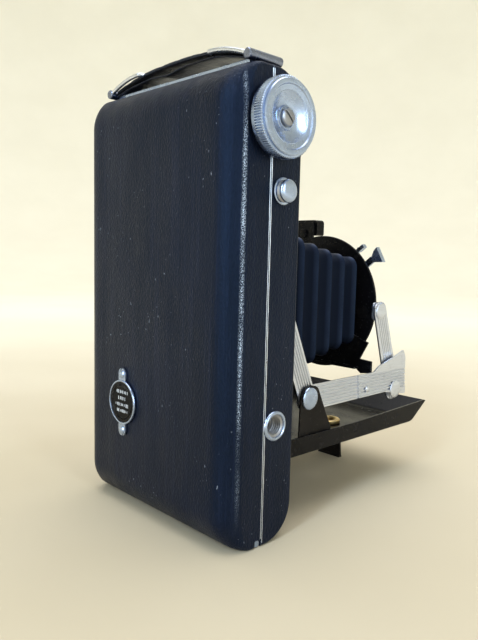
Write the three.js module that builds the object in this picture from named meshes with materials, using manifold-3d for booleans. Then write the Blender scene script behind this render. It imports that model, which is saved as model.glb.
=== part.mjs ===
// Folding roll-film camera, standing on end with its bed open and its foot down.
// Millimetres. +Z runs up the long side of the body, -Y is the way the lens looks,
// and the winding knob is on the -X side. The origin is the middle of the lower end.
import * as THREE from "three";
import { mergeVertices } from "three/addons/utils/BufferGeometryUtils.js";
import Module from "manifold-3d";

const wasm = await Module();
wasm.setup();

// ---------------------------------------------------------------- driving dimensions
const GAP = 0.3; // between pieces that touch
const PLAY = 0.05; // running clearance of a small pin

const BODY = { width: 81, depth: 30, height: 150, endRadius: 12.2, edgeRadius: 7.5, wall: 1.1 };
const SEAM_Y = -1.2;
const HALF_W = BODY.width / 2;
const FRONT_Y = -BODY.depth / 2;
const BACK_Y = BODY.depth / 2;
const TOP_Z = BODY.height;

const DOORWAY = { halfW: 36.3, z0: 21.8, z1: 124.9 };
const WELL = { halfW: 35, wall: 1, y0: FRONT_Y, gateY: 9, gateZ0: 28.4, gateZ1: 122.4 };
const GATE = { halfW: 28.5, z0: 32.5, z1: 117.5, thick: 0.8 };

const SPOOL = { y: -2.2, zLow: 16, zHigh: 134, flangeR: 10, coreR: 4.2, halfL: 32.5, boreR: 2.1 };
const ROLLER = { y: 8.4, zLow: 25.4, zHigh: 125.4, r: 1.6, axleR: 0.7 };

const KNOB = { r: 12, x0: -41.6, x1: -47.4, teeth: 48 };
const BUTTON = { y: -6.4, z: 113.2, stemR: 2.2, headR: 3.6 };
const SOCKET = { y: -5.8, z: 39.2, flangeR: 4.9, boreR: 3 };
const WINDOW = { x: 14.5, z: 39.6, r: 5.6, ringR: 8.1 };

const BACK_HINGE = { y: 0.2, z: 1.2, r: 1.05, pinR: 0.45, leafZ0: 1.65, leafZ1: 2.25 };
const KNUCKLE = { inner: 8.3, length: 10.6 };
const REST = { halfW: 7, y0: -2.8, y1: 0.8, height: 1 };
const BED_HINGE = { y: -14, z: 25.5, r: 0.6 };
const BED = { halfW: 34.2, skin: 0.75, floorZ: 23.5, floor: 1, rimZ: 29.9, cornerY: -99, tipY: -110 };
const BED_BUSH = { x: -15, y: -66, barrelR: 4, flangeR: 4.9 };
const FOOT = { x: 5, halfW: 6.25, y: -92.4, z: 21.6, tipY: -93.7, pinR: 0.6 };

// Side linkage, seen from the side: rear rivet, elbow and standard pivot.
const RIVET = { y: -31.5, z: 43 };
const ELBOW = { y: -89, z: 38.4 };
const STANDARD_PIVOT = { y: -78, z: 71.6 };
// The layers of the linkage, as distances from the middle plane.
const LAYER = {
  strut: [29.4, 30.1],
  arm: [30.9, 31.5],
  brace: [31.75, 32.3],
  ear: [32.55, 33.2],
};

const PLATE = { y0: -77.6, y1: -76.6, z: 73.7, r: 28.3, holeR: 13 };
const SHUTTER = { r: 25, y0: -83.5, y1: -77.9, boreR: 11, grooveR: 22.2 };
const LEVER_Y = { rear: SHUTTER.y1 - 2.2, front: SHUTTER.y1 - 3.1 };
const FINDER = { x: 11, z: 105.6, halfW: 6, halfH: 3.4, y0: -83, y1: -78.2 };

// ---------------------------------------------------------------- geometry helpers
const DEG = Math.PI / 180;

// A closed solid from any three.js geometry, with its faces turned outwards.
function solid(geometry) {
  const bare = new THREE.BufferGeometry();
  bare.setAttribute("position", geometry.getAttribute("position").clone());
  if (geometry.index) bare.setIndex(geometry.index.clone());
  const merged = mergeVertices(bare, 1e-4);
  const place = merged.getAttribute("position");
  const index = Array.from(merged.index.array);
  const triangles = [];
  let volume = 0;
  const corner = [new THREE.Vector3(), new THREE.Vector3(), new THREE.Vector3()];
  for (let i = 0; i < index.length; i += 3) {
    const [a, b, c] = index.slice(i, i + 3);
    if (a === b || b === c || c === a) continue;
    triangles.push(a, b, c);
    [a, b, c].forEach((vertex, k) => corner[k].fromBufferAttribute(place, vertex));
    volume += corner[0].dot(corner[1].cross(corner[2]));
  }
  if (volume < 0) triangles.reverse();
  const vertProperties = new Float32Array(place.array);
  const triVerts = new Uint32Array(triangles);
  return new wasm.Manifold(new wasm.Mesh({ numProp: 3, vertProperties, triVerts }));
}

function geometryOf(body) {
  const { vertProperties, triVerts } = body.getMesh();
  const geometry = new THREE.BufferGeometry();
  geometry.setAttribute("position", new THREE.BufferAttribute(vertProperties, 3));
  geometry.setIndex(new THREE.BufferAttribute(triVerts, 1));
  geometry.computeVertexNormals();
  return geometry;
}

function join(...bodies) {
  return bodies.reduce((whole, body) => whole.add(body));
}

function cut(body, ...tools) {
  return tools.reduce((rest, tool) => rest.subtract(tool), body);
}

// The frames of an outline: which world axes its u and v run along, and where it is extruded.
const AXES = {
  x: [new THREE.Vector3(0, 1, 0), new THREE.Vector3(0, 0, 1), new THREE.Vector3(1, 0, 0)],
  y: [new THREE.Vector3(0, 0, 1), new THREE.Vector3(1, 0, 0), new THREE.Vector3(0, 1, 0)],
  z: [new THREE.Vector3(1, 0, 0), new THREE.Vector3(0, 1, 0), new THREE.Vector3(0, 0, 1)],
};

// An outline extruded from one place to another along an axis.
// Its points are (y, z) along x, (z, x) along y and (x, y) along z.
function prism(axis, outline, from, to) {
  const shape = outline instanceof THREE.Shape
    ? outline
    : new THREE.Shape(outline.map(([u, v]) => new THREE.Vector2(u, v)));
  const depth = Math.abs(to - from);
  const geometry = new THREE.ExtrudeGeometry(shape, { depth, bevelEnabled: false });
  const turn = new THREE.Matrix4().makeBasis(...AXES[axis]);
  const start = AXES[axis][2].clone().multiplyScalar(Math.min(from, to));
  return solid(geometry.applyMatrix4(turn.setPosition(start)));
}

function box(x0, x1, y0, y1, z0, z1) {
  const size = [Math.abs(x1 - x0), Math.abs(y1 - y0), Math.abs(z1 - z0)];
  const middle = [(x0 + x1) / 2, (y0 + y1) / 2, (z0 + z1) / 2];
  return solid(new THREE.BoxGeometry(...size).translate(...middle));
}

// A turned body: profile points are (radius, place along the axis), u and v give its centre.
function turned(axis, profile, u, v, segments = 24) {
  const points = profile.map(([radius, along]) => new THREE.Vector2(radius, along));
  const geometry = new THREE.LatheGeometry(points, segments);
  const [uAxis, vAxis, along] = AXES[axis];
  const turn = new THREE.Matrix4().makeBasis(vAxis, along, uAxis);
  const centre = uAxis.clone().multiplyScalar(u).addScaledVector(vAxis, v);
  return solid(geometry.applyMatrix4(turn.setPosition(centre)));
}

function rod(axis, r, from, to, u, v, segments = 16) {
  return turned(axis, [[0, from], [r, from], [r, to], [0, to]], u, v, segments);
}

function ring(axis, outer, inner, from, to, u, v, segments = 24) {
  const profile = [[inner, from], [outer, from], [outer, to], [inner, to], [inner, from]];
  return turned(axis, profile, u, v, segments);
}

// A polygon whose corners are rounded: each corner is [u, v] or [u, v, radius].
function rounded(corners) {
  const shape = new THREE.Shape();
  const count = corners.length;
  corners.forEach(([u, v, radius = 0], i) => {
    const before = corners[(i + count - 1) % count];
    const after = corners[(i + 1) % count];
    const here = new THREE.Vector2(u, v);
    const toBefore = new THREE.Vector2(before[0], before[1]).sub(here).normalize();
    const toAfter = new THREE.Vector2(after[0], after[1]).sub(here).normalize();
    const half = Math.acos(THREE.MathUtils.clamp(toBefore.dot(toAfter), -1, 1)) / 2;
    const reach = radius ? radius / Math.tan(half) : 0;
    const start = here.clone().addScaledVector(toBefore, reach);
    if (i === 0) shape.moveTo(start.x, start.y);
    else shape.lineTo(start.x, start.y);
    if (!radius) return;
    const middle = toBefore.clone().add(toAfter).normalize();
    const centre = here.clone().addScaledVector(middle, radius / Math.sin(half));
    const end = here.clone().addScaledVector(toAfter, reach);
    const a0 = Math.atan2(start.y - centre.y, start.x - centre.x);
    const a1 = Math.atan2(end.y - centre.y, end.x - centre.x);
    let sweep = a1 - a0;
    if (sweep > Math.PI) sweep -= 2 * Math.PI;
    if (sweep < -Math.PI) sweep += 2 * Math.PI;
    const steps = Math.max(2, Math.ceil(Math.abs(sweep) / (15 * DEG)));
    for (let k = 1; k <= steps; k += 1) {
      const a = a0 + (sweep * k) / steps;
      shape.lineTo(centre.x + radius * Math.cos(a), centre.y + radius * Math.sin(a));
    }
  });
  return shape;
}

// A strip with round ends, seen from the side, from one pivot to another.
function capsule(low, high, lowR, highR, steps) {
  const lean = Math.atan2(high.z - low.z, high.y - low.y);
  const halfTurn = (at, r, start) => Array.from({ length: steps + 1 }, (_, i) => {
    const a = start + (Math.PI * i) / steps;
    return [at.y + r * Math.cos(a), at.z + r * Math.sin(a)];
  });
  return [...halfTurn(low, lowR, lean + Math.PI / 2), ...halfTurn(high, highR, lean - Math.PI / 2)];
}

// ---------------------------------------------------------------- finishes
const FINISH = {
  leather: { color: 0x14161f, roughness: 0.6, metalness: 0 },
  innerBlack: { color: 0x101012, roughness: 0.85, metalness: 0 },
  enamel: { color: 0x0b0b0e, roughness: 0.25, metalness: 0.1 },
  nickel: { color: 0xb4b4ba, roughness: 0.3, metalness: 1 },
  darkNickel: { color: 0x6b6c78, roughness: 0.35, metalness: 1 },
  satin: { color: 0xc3c3cc, roughness: 0.45, metalness: 1 },
  brass: { color: 0xa98a4e, roughness: 0.4, metalness: 1 },
  steel: { color: 0x85868c, roughness: 0.4, metalness: 1 },
  glass: { color: 0xcfd8e2, roughness: 0.05, metalness: 0, transparent: true, opacity: 0.35 },
  redGlass: { color: 0x7a1010, roughness: 0.1, metalness: 0, transparent: true, opacity: 0.5 },
  bellows: { color: 0x1a1e33, roughness: 0.55, metalness: 0 },
  strap: { color: 0x0d0d10, roughness: 0.45, metalness: 0 },
};

const group = new THREE.Group();

function add(name, body, finish) {
  const mesh = new THREE.Mesh(geometryOf(body), new THREE.MeshStandardMaterial(FINISH[finish]));
  mesh.name = name;
  group.add(mesh);
}

// The same piece on both sides: make(from, to) gets the layer's places on one side.
function addPair(name, layer, make, finish) {
  add(`${name}_left`, make(layer[0], layer[1], 1), finish);
  add(`${name}_right`, make(-layer[0], -layer[1], -1), finish);
}

// ---------------------------------------------------------------- body shells
// The body seen from the side, from one y to another, drawn in by an inset all round.
function bodyOutline(y0, y1, inset) {
  const r = BODY.endRadius - inset;
  const low = inset;
  const high = TOP_Z - inset;
  const front = y0 < FRONT_Y + BODY.endRadius;
  const back = y1 > BACK_Y - BODY.endRadius;
  return rounded([
    [y0, low, front ? r : 0],
    [y1, low, back ? r : 0],
    [y1, high, back ? r : 0],
    [y0, high, front ? r : 0],
  ]);
}

function frontBody() {
  const edge = SEAM_Y - GAP / 2;
  const { wall } = BODY;
  const outside = prism("x", bodyOutline(FRONT_Y, edge, 0), -HALF_W, HALF_W);
  const inside = prism("x", bodyOutline(FRONT_Y + wall, edge + 1, wall), wall - HALF_W, HALF_W - wall);
  const rest = box(-REST.halfW, REST.halfW, REST.y0, REST.y1, 0, REST.height);
  const doorway = box(-DOORWAY.halfW, DOORWAY.halfW, FRONT_Y - 1, FRONT_Y + 5, DOORWAY.z0, DOORWAY.z1);
  const knobNotch = rod("x", 5.6, -HALF_W - 1, -HALF_W + 2, SPOOL.y, SPOOL.zHigh, 24);
  const buttonHole = rod("x", BUTTON.stemR + 0.4, -HALF_W - 1, -HALF_W + 2, BUTTON.y, BUTTON.z);
  const socketHole = rod("x", 4.4, -HALF_W - 1, -HALF_W + 2, SOCKET.y, SOCKET.z);
  return join(cut(outside, inside, doorway, knobNotch, buttonHole, socketHole), rest);
}

function backShape(inset) {
  const halfW = HALF_W - inset;
  const edge = SEAM_Y + GAP / 2 - (inset ? 1 : 0);
  const y1 = BACK_Y - inset;
  const side = prism("x", bodyOutline(edge, y1, inset), -halfW, halfW);
  const r = BODY.edgeRadius - inset;
  const plan = rounded([[-halfW, edge - 1], [halfW, edge - 1], [halfW, y1, r], [-halfW, y1, r]]);
  return side.intersect(prism("z", plan, -1, TOP_Z + 1));
}

function backCover() {
  const wall = 1;
  const knobNotch = join(
    rod("x", 5.6, -HALF_W - 1, -HALF_W + 2, SPOOL.y, SPOOL.zHigh, 24),
    box(-HALF_W - 1, -HALF_W + 2, -3, SPOOL.y + 0.5, SPOOL.zHigh - 5.6, SPOOL.zHigh + 5.6),
  );
  const hingeNotch = box(-HALF_W - 1, HALF_W + 1, -3, BACK_HINGE.y + 1.4, -1, BACK_HINGE.z + 1.4);
  const windowHole = rod("y", WINDOW.r + GAP, BACK_Y - 2, BACK_Y + 1, WINDOW.z, WINDOW.x, 24);
  return cut(backShape(0), backShape(wall), knobNotch, hingeNotch, windowHole);
}

// The light well behind the doorway, with the film gate at its back and two pairs of roller ears.
function filmGateFrame() {
  const { halfW, wall, y0, gateY, gateZ0, gateZ1 } = WELL;
  const backY = gateY + GATE.thick;
  const inner = [
    [y0 - 1, 23.1], [-13, 23.1], [-11, 24.2], [-4, gateZ0], [backY + 1, gateZ0],
    [backY + 1, gateZ1], [-4, gateZ1], [-9, 123.6], [y0 - 1, 123.6],
  ];
  const outer = [
    [y0, 22.1], [-12.8, 22.1], [-10.6, 23.2], [-3.7, gateZ0 - wall], [backY, gateZ0 - wall],
    [backY, gateZ1 + wall], [-3.8, gateZ1 + wall], [-8.9, 124.6], [y0, 124.6],
  ];
  const tube = cut(
    prism("x", outer, -halfW - wall, halfW + wall),
    prism("x", inner, -halfW, halfW),
  );
  const gatePlate = cut(
    box(-halfW - wall / 2, halfW + wall / 2, gateY, backY, gateZ0 - wall / 2, gateZ1 + wall / 2),
    box(-GATE.halfW, GATE.halfW, gateY - 1, backY + 1, GATE.z0, GATE.z1),
  );
  const ears = [];
  for (const side of [-1, 1]) {
    const near = side * halfW;
    const far = side * (halfW + wall);
    ears.push(box(near, far, ROLLER.y - 2.4, backY, ROLLER.zLow - 2, gateZ0));
    ears.push(box(near, far, ROLLER.y - 2.4, backY, gateZ1, ROLLER.zHigh + 2));
  }
  const holes = [ROLLER.zLow, ROLLER.zHigh].map((z) =>
    rod("x", ROLLER.axleR + PLAY, -halfW - 2, halfW + 2, ROLLER.y, z, 12));
  holes.push(rod("x", BED_HINGE.r + PLAY, -halfW - 2, halfW + 2, BED_HINGE.y, BED_HINGE.z, 12));
  const catchSlot = box(-21.4, -16.7, -12.8, -9.5, 123, 126);
  return cut(join(tube, gatePlate, ...ears), ...holes, catchSlot);
}

// ---------------------------------------------------------------- handle
const RAIL = { x0: -35.2, x1: 35.2, halfW: 3.9, z0: TOP_Z + GAP, z1: TOP_Z + 1.2, ridge: 0.5 };
const CLIP = { x: 37.2, z: 152, barrelR: 1.6, halfL: 7.1, wireR: 0.9, legY: 6.3, legX: 18 };

function handleRail() {
  const plate = box(RAIL.x0, RAIL.x1, -RAIL.halfW, RAIL.halfW, RAIL.z0, RAIL.z1);
  const ridges = [-RAIL.halfW + 0.6, RAIL.halfW - 0.6].map((y) =>
    box(RAIL.x0, RAIL.x1, y - 0.6, y + 0.6, RAIL.z1 - 0.1, RAIL.z1 + RAIL.ridge));
  return join(plate, ...ridges);
}

// One end fitting: a barrel across the strap and two wires along its edges.
function strapClip(side) {
  const barrel = rod("y", CLIP.barrelR, -CLIP.halfL, CLIP.halfL, CLIP.z, side * CLIP.x, 16);
  const legEnd = new THREE.Vector3(side * CLIP.legX, 0, CLIP.z + 4);
  const legStart = new THREE.Vector3(side * CLIP.x, 0, CLIP.z);
  const legs = [-CLIP.legY, CLIP.legY].map((y) => {
    const path = new THREE.LineCurve3(
      legStart.clone().setY(y),
      legEnd.clone().setY(y),
    );
    const section = new THREE.Shape().absarc(0, 0, CLIP.wireR, 0, 2 * Math.PI);
    const options = { steps: 1, extrudePath: path, bevelEnabled: false, curveSegments: 5 };
    return solid(new THREE.ExtrudeGeometry(section, options));
  });
  return join(barrel, ...legs);
}

// The strap's middle line: an arch that ends close above the two barrels.
function strapHeight(x) {
  const end = CLIP.x - 2.2;
  const crown = 156.9 - 0.012 * (x + 4);
  const low = CLIP.z + 0.7;
  const t = Math.min(1, Math.abs(x) / end);
  return low + (crown - low) * (1 - t ** 2.6);
}

function strap() {
  const halfT = 0.9;
  const end = CLIP.x - 2.2;
  const steps = 20;
  const upper = [];
  const lower = [];
  for (let i = 0; i <= steps; i += 1) {
    const x = -end + (2 * end * i) / steps;
    upper.push([strapHeight(x) + halfT, x]);
    lower.unshift([strapHeight(x) - halfT, x]);
  }
  return prism("y", [...upper, ...lower], -5.05, 5.05);
}

// ---------------------------------------------------------------- winding side
function windKnob() {
  const { r, x0, x1, teeth } = KNOB;
  const bite = 0.35;
  const outline = [];
  for (let i = 0; i < teeth; i += 1) {
    const a = (2 * Math.PI * i) / teeth;
    const b = (2 * Math.PI * (i + 0.5)) / teeth;
    outline.push([SPOOL.y + r * Math.cos(a), SPOOL.zHigh + r * Math.sin(a)]);
    outline.push([SPOOL.y + (r - bite) * Math.cos(b), SPOOL.zHigh + (r - bite) * Math.sin(b)]);
  }
  const grip = prism("x", outline, x1 + 1, x0 - 1.6);
  const skirt = rod("x", r - 0.6, x0 - 1.7, x0, SPOOL.y, SPOOL.zHigh, 32);
  const rim = rod("x", r - 0.9, x1, x1 + 1.1, SPOOL.y, SPOOL.zHigh, 32);
  const hollow = [[0, x1 + 1.1], [3.6, x1 + 1.1], [5.2, x1 + 1.5], [9.4, x1 - 0.2], [0, x1 - 0.2]];
  const dish = turned("x", hollow, SPOOL.y, SPOOL.zHigh, 32);
  const well = rod("x", 2.9, x1 - 1, x1 + 2.4, SPOOL.y, SPOOL.zHigh, 16);
  const bore = rod("x", 1.3, x1 - 1, x0 + 1, SPOOL.y, SPOOL.zHigh, 16);
  const seat = rod("x", 2.5, x0 - 1.1, x0 + 1, SPOOL.y, SPOOL.zHigh, 16);
  return cut(join(grip, skirt, rim), dish, well, bore, seat);
}

function windKnobScrew() {
  const x = KNOB.x1 + 2.4 - GAP;
  const head = turned("x", [[0, x], [2.55, x], [2.55, x - 0.9], [2, x - 1.5], [0, x - 1.6]],
    SPOOL.y, SPOOL.zHigh, 16);
  const shank = rod("x", 1.2, x - 0.1, KNOB.x0 - 1.2, SPOOL.y, SPOOL.zHigh, 16);
  const slot = box(x - 2, x - 1, -0.35, 0.35, -4, 4).rotate([45, 0, 0])
    .translate([0, SPOOL.y, SPOOL.zHigh]);
  return cut(join(head, shank), slot);
}

// The shaft from the knob into the take-up spool, ending in a flat blade.
function windKey() {
  const shaft = rod("x", 2.2, KNOB.x0 - 0.8, -35.6, SPOOL.y, SPOOL.zHigh, 16);
  const collar = rod("x", 3.4, -37.2, -36, SPOOL.y, SPOOL.zHigh, 16);
  const blade = box(-35.7, -30.6, SPOOL.y - 1.75, SPOOL.y + 1.75, SPOOL.zHigh - 0.5, SPOOL.zHigh + 0.5);
  return join(shaft, collar, blade);
}

function knobBearing() {
  const boss = rod("x", 5.2, -HALF_W - 0.5, -37.5, SPOOL.y, SPOOL.zHigh, 24);
  const plate = box(-39.1, -38.1, -12.5, 3.4, SPOOL.zHigh - 4.6, SPOOL.zHigh + 8);
  const bore = rod("x", 2.2 + PLAY, -HALF_W - 2, -36, SPOOL.y, SPOOL.zHigh, 16);
  return cut(join(boss, plate), bore);
}

// Film spool: two flanges and a core, with a keyed socket in each end.
function filmSpool(z) {
  const { y, flangeR, coreR, halfL, boreR } = SPOOL;
  const core = rod("x", coreR, -halfL, halfL, y, z, 16);
  const flanges = [-1, 1].map((side) => rod("x", flangeR, side * halfL, side * (halfL - 0.8), y, z, 28));
  const tools = [];
  for (const side of [-1, 1]) {
    tools.push(rod("x", boreR, side * (halfL + 1), side * (halfL - 6), y, z, 16));
    tools.push(box(side * (halfL + 1), side * (halfL - 6), y - 3.2, y + 3.2, z - 0.7, z + 0.7));
  }
  return cut(join(core, ...flanges), ...tools);
}

// A sprung centre pin that a spool turns on, with its foot on the inside of a side wall.
function spoolPin(side, z) {
  const wallX = side * (HALF_W - BODY.wall - GAP);
  const foot = box(wallX, wallX - side * 0.8, -9, -1.8, z - 4, z + 4);
  const post = rod("x", 3, wallX - side * 0.7, side * (SPOOL.halfL + 0.6), SPOOL.y, z, 16);
  const noseEnd = side * (SPOOL.halfL - 4);
  const nose = rod("x", SPOOL.boreR - 0.1, side * (SPOOL.halfL + 0.7), noseEnd, SPOOL.y, z, 16);
  return join(foot, post, nose);
}

function filmRoller(z) {
  const axleEnd = WELL.halfW + WELL.wall - 0.1;
  return join(
    rod("x", ROLLER.r, 0.6 - WELL.halfW, WELL.halfW - 0.6, ROLLER.y, z, 14),
    rod("x", ROLLER.axleR, -axleEnd, axleEnd, ROLLER.y, z, 12),
  );
}

// ---------------------------------------------------------------- small fittings on the side
function releaseButton() {
  const out = -HALF_W;
  const profile = [
    [0, out - 1.9], [3.2, out - 1.9], [BUTTON.headR, out - 2.2], [BUTTON.headR, out - 2.6],
    [3.1, out - 3.1], [2, out - 3.5], [0, out - 3.7],
  ];
  const dome = turned("x", profile, BUTTON.y, BUTTON.z, 24);
  const stem = rod("x", BUTTON.stemR, out - 2, -38.8, BUTTON.y, BUTTON.z, 16);
  const foot = rod("x", 3, -39.1, -38.6, BUTTON.y, BUTTON.z, 16);
  return join(dome, stem, foot);
}

function buttonCollar() {
  return ring("x", 4.1, BUTTON.stemR + PLAY, -HALF_W - GAP, -HALF_W - 0.8, BUTTON.y, BUTTON.z, 24);
}

// Conical washer that pushes the button out.
function releaseSpring() {
  const near = -HALF_W - 0.9;
  const profile = [[3.3, near], [3.5, near], [2.7, near - 0.9], [2.5, near - 0.9], [3.3, near]];
  return turned("x", profile, BUTTON.y, BUTTON.z, 16);
}

// The catch bar: from the foot of the button up and over the well, ending in a hook above the bed's lip.
function bedCatch() {
  const arm = box(-38.3, -37.7, -9, -4.4, BUTTON.z - 3, 127);
  const bar = box(-38.3, -18, -12.4, -9.9, 126.2, 127);
  const knee = box(-38.3, -37.7, -12.4, -4.4, 125, 127);
  const hook = box(-21, -18, -12.4, -9.9, 123.9, 127);
  return join(arm, bar, knee, hook);
}

function tripodSocket() {
  const out = -HALF_W;
  const flange = turned("x", [[0, out - 0.3], [SOCKET.flangeR, out - 0.3], [SOCKET.flangeR, out - 0.5],
    [SOCKET.flangeR - 0.5, out - 0.9], [0, out - 0.9]], SOCKET.y, SOCKET.z, 28);
  const barrel = rod("x", 4.1, out - 0.4, -36.4, SOCKET.y, SOCKET.z, 24);
  const bore = rod("x", SOCKET.boreR, out - 2, -37.2, SOCKET.y, SOCKET.z, 16);
  return cut(join(flange, barrel), bore);
}

// ---------------------------------------------------------------- back cover fittings
// Half of the hinge under the seam: a leaf and its knuckles, of which each side run has three.
function hingeHalf(numbers, leafY0, leafY1) {
  const { y, z, r, leafZ0, leafZ1 } = BACK_HINGE;
  const leafHalfW = HALF_W - BODY.wall - GAP;
  const parts = [box(-leafHalfW, leafHalfW, leafY0, leafY1, leafZ0, leafZ1)];
  for (const number of numbers) {
    const near = KNUCKLE.inner + number * KNUCKLE.length + GAP / 2;
    const far = KNUCKLE.inner + (number + 1) * KNUCKLE.length - GAP / 2;
    for (const side of [-1, 1]) {
      parts.push(rod("x", r, side * near, side * far, y, z, 14));
      const end = side * Math.min(far, leafHalfW);
      parts.push(box(side * near, end, y, (leafY0 + leafY1) / 2, leafZ0, leafZ1));
    }
  }
  return join(...parts);
}

function hingeFixedLeaf() {
  const { y, z, pinR } = BACK_HINGE;
  const pins = [-1, 1].map((side) =>
    rod("x", pinR, side * (KNUCKLE.inner + 0.5), side * (HALF_W - 0.8), y, z, 12));
  return join(hingeHalf([0, 2], -5.2, -1.9), ...pins);
}

function hingeMovingLeaf() {
  const { y, z, pinR } = BACK_HINGE;
  const bore = rod("x", pinR + PLAY, -HALF_W, HALF_W, y, z, 12);
  return cut(hingeHalf([1], 1.9, 5), bore);
}

function backLatch() {
  const x = HALF_W + GAP;
  const outline = rounded([[-9.5, 129, 1.2], [-3.2, 129, 1.2], [-3.2, 138, 1.2], [-9.5, 138, 1.2]]);
  const plate = prism("x", outline, x, x + 0.8);
  const ridges = [131.2, 133, 134.8].map((z) => box(x + 0.7, x + 1.6, -8.6, -4.1, z - 0.45, z + 0.45));
  return join(plate, ...ridges);
}

// The plate that keeps the film flat, with its two long ends bent away from it.
function pressurePlate() {
  const y0 = 10.3;
  const profile = [
    [y0, 34], [y0, 116], [y0 + 1.2, 119], [y0 + 1.8, 118.7], [y0 + 0.7, 115.7],
    [y0 + 0.7, 34.3], [y0 + 1.8, 31.3], [y0 + 1.2, 31],
  ];
  return prism("x", profile, -32.5, 32.5);
}

// A bowed leaf between the pressure plate and the back.
function pressureSpring(z0) {
  const length = 26;
  const steps = 10;
  const outer = [];
  const inner = [];
  for (let i = 0; i <= steps; i += 1) {
    const t = i / steps;
    const y = 11.35 + 1.9 * Math.sin(Math.PI * t);
    outer.push([y + 0.3, z0 + length * t]);
    inner.unshift([y, z0 + length * t]);
  }
  return prism("x", [...outer, ...inner], -5, 5);
}

function windowRing() {
  const y0 = BACK_Y + GAP;
  const { x, z, ringR } = WINDOW;
  const body = rod("y", ringR, y0, y0 + 0.9, z, x, 32);
  const ears = [-1, 1].map((side) => join(
    rod("y", 2.3, y0, y0 + 0.7, z + side * 10.2, x, 16),
    box(x - 2.3, x + 2.3, y0, y0 + 0.7, z + side * 7, z + side * 10.2),
    turned("y", [[0, y0], [1.5, y0], [1.5, y0 + 0.9], [0.9, y0 + 1.3], [0, y0 + 1.4]],
      z + side * 10, x, 20),
  ));
  return cut(join(body, ...ears), rod("y", 6.4, y0 - 1, y0 + 2, z, x, 32));
}

function windowCover() {
  const { x, z } = WINDOW;
  const y0 = BACK_Y + GAP;
  const disc = rod("y", 6.2, y0, y0 + 0.6, z, x, 32);
  const grip = box(x - 0.5, x + 0.5, y0 + 0.5, y0 + 1, z - 4.6, z + 4.6);
  return join(disc, grip);
}

// ---------------------------------------------------------------- bed
// The bed: a tray with a low rim along its sides, curving up at the front.
function bedPlate() {
  const { halfW, skin, floorZ, floor, rimZ, cornerY, tipY } = BED;
  const { y, z, r } = BED_HINGE;
  const side = rounded([
    [y + 0.4, floorZ], [y + 1.6, floorZ + 0.9], [y + 1.6, z + 1.5, 1.5], [y - 1.2, rimZ, 1.5],
    [-60, rimZ], [tipY + 1.2, 31.4], [tipY, 31], [cornerY, floorZ, 6],
  ]);
  const hollow = rounded([
    [y + 5, floorZ + floor], [y + 5, 40], [tipY - 1, 40], [tipY - 1, 32.65],
    [cornerY - 0.05, floorZ + floor, 5],
  ]);
  const tray = cut(
    prism("x", side, -halfW, halfW),
    prism("x", hollow, skin - halfW, halfW - skin),
  );
  const pinHole = rod("x", r + PLAY, -halfW - 1, halfW + 1, y, z, 12);
  const bushHole = rod("z", BED_BUSH.barrelR + GAP, floorZ - 1, floorZ + 3, BED_BUSH.x, BED_BUSH.y, 16);
  return cut(tray, pinHole, bushHole);
}

function bedBush() {
  const { x, y, barrelR, flangeR } = BED_BUSH;
  const top = BED.floorZ + BED.floor + GAP;
  const flange = turned("z", [[0, top], [flangeR, top], [flangeR, top + 1.1], [flangeR - 0.5, top + 1.5],
    [0, top + 1.5]], x, y, 24);
  const barrel = rod("z", barrelR, BED.floorZ, top + 0.1, x, y, 16);
  return cut(join(flange, barrel), rod("z", SOCKET.boreR, BED.floorZ - 1, top + 3, x, y, 16));
}

// Bracket that carries the rear rivet: an upright cheek on a foot that lies on the bed floor.
function bedEar(near, far, side) {
  const { y, z } = RIVET;
  const floorTop = BED.floorZ + BED.floor + GAP;
  const outline = rounded([
    [y + 5, floorTop], [y + 4.3, z + 4.3, 4.2], [y - 4.3, z + 4.3, 3.6],
    [y - 8.9, z - 5, 4], [y - 12.5, z - 12], [y - 14.5, floorTop],
  ]);
  const cheek = prism("x", outline, near, far);
  const foot = box(near - side * 5, far, y - 14.5, y + 5, floorTop, floorTop + 0.65);
  return cut(join(cheek, foot), rod("x", 1.6 + PLAY, near - 1, far + 1, y, z, 16));
}

function bedRivet(side) {
  const { y, z } = RIVET;
  const inner = side * (LAYER.arm[0] - 0.35);
  const head = LAYER.ear[1] + 0.1;
  const shaft = rod("x", 1.6, inner, side * (head + 0.2), y, z, 16);
  const cap = turned("x", [[0, side * head], [4, side * head], [4, side * (head + 0.6)],
    [3.4, side * (head + 0.95)], [0, side * (head + 0.95)]], y, z, 36);
  const tail = rod("x", 2.4, inner, side * (LAYER.arm[0] - 0.9), y, z, 16);
  return join(shaft, cap, tail);
}

function footBracket() {
  const top = BED.floorZ - GAP;
  const { x, halfW, y, z, pinR } = FOOT;
  const plate = box(x - halfW - 1.6, x + halfW + 1.6, y - 3, y + 3, top - 0.5, top);
  const lugs = [-1, 1].map((side) => {
    const outline = rounded([[y - 2, top], [y + 2, top], [y + 1.6, z - 1.5, 1.3], [y - 1.6, z - 1.5, 1.3]]);
    return prism("x", outline, x + side * (halfW + 0.8), x + side * (halfW + 1.6));
  });
  return cut(join(plate, ...lugs), rod("x", pinR + PLAY, x - halfW - 3, x + halfW + 3, y, z, 12));
}

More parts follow.
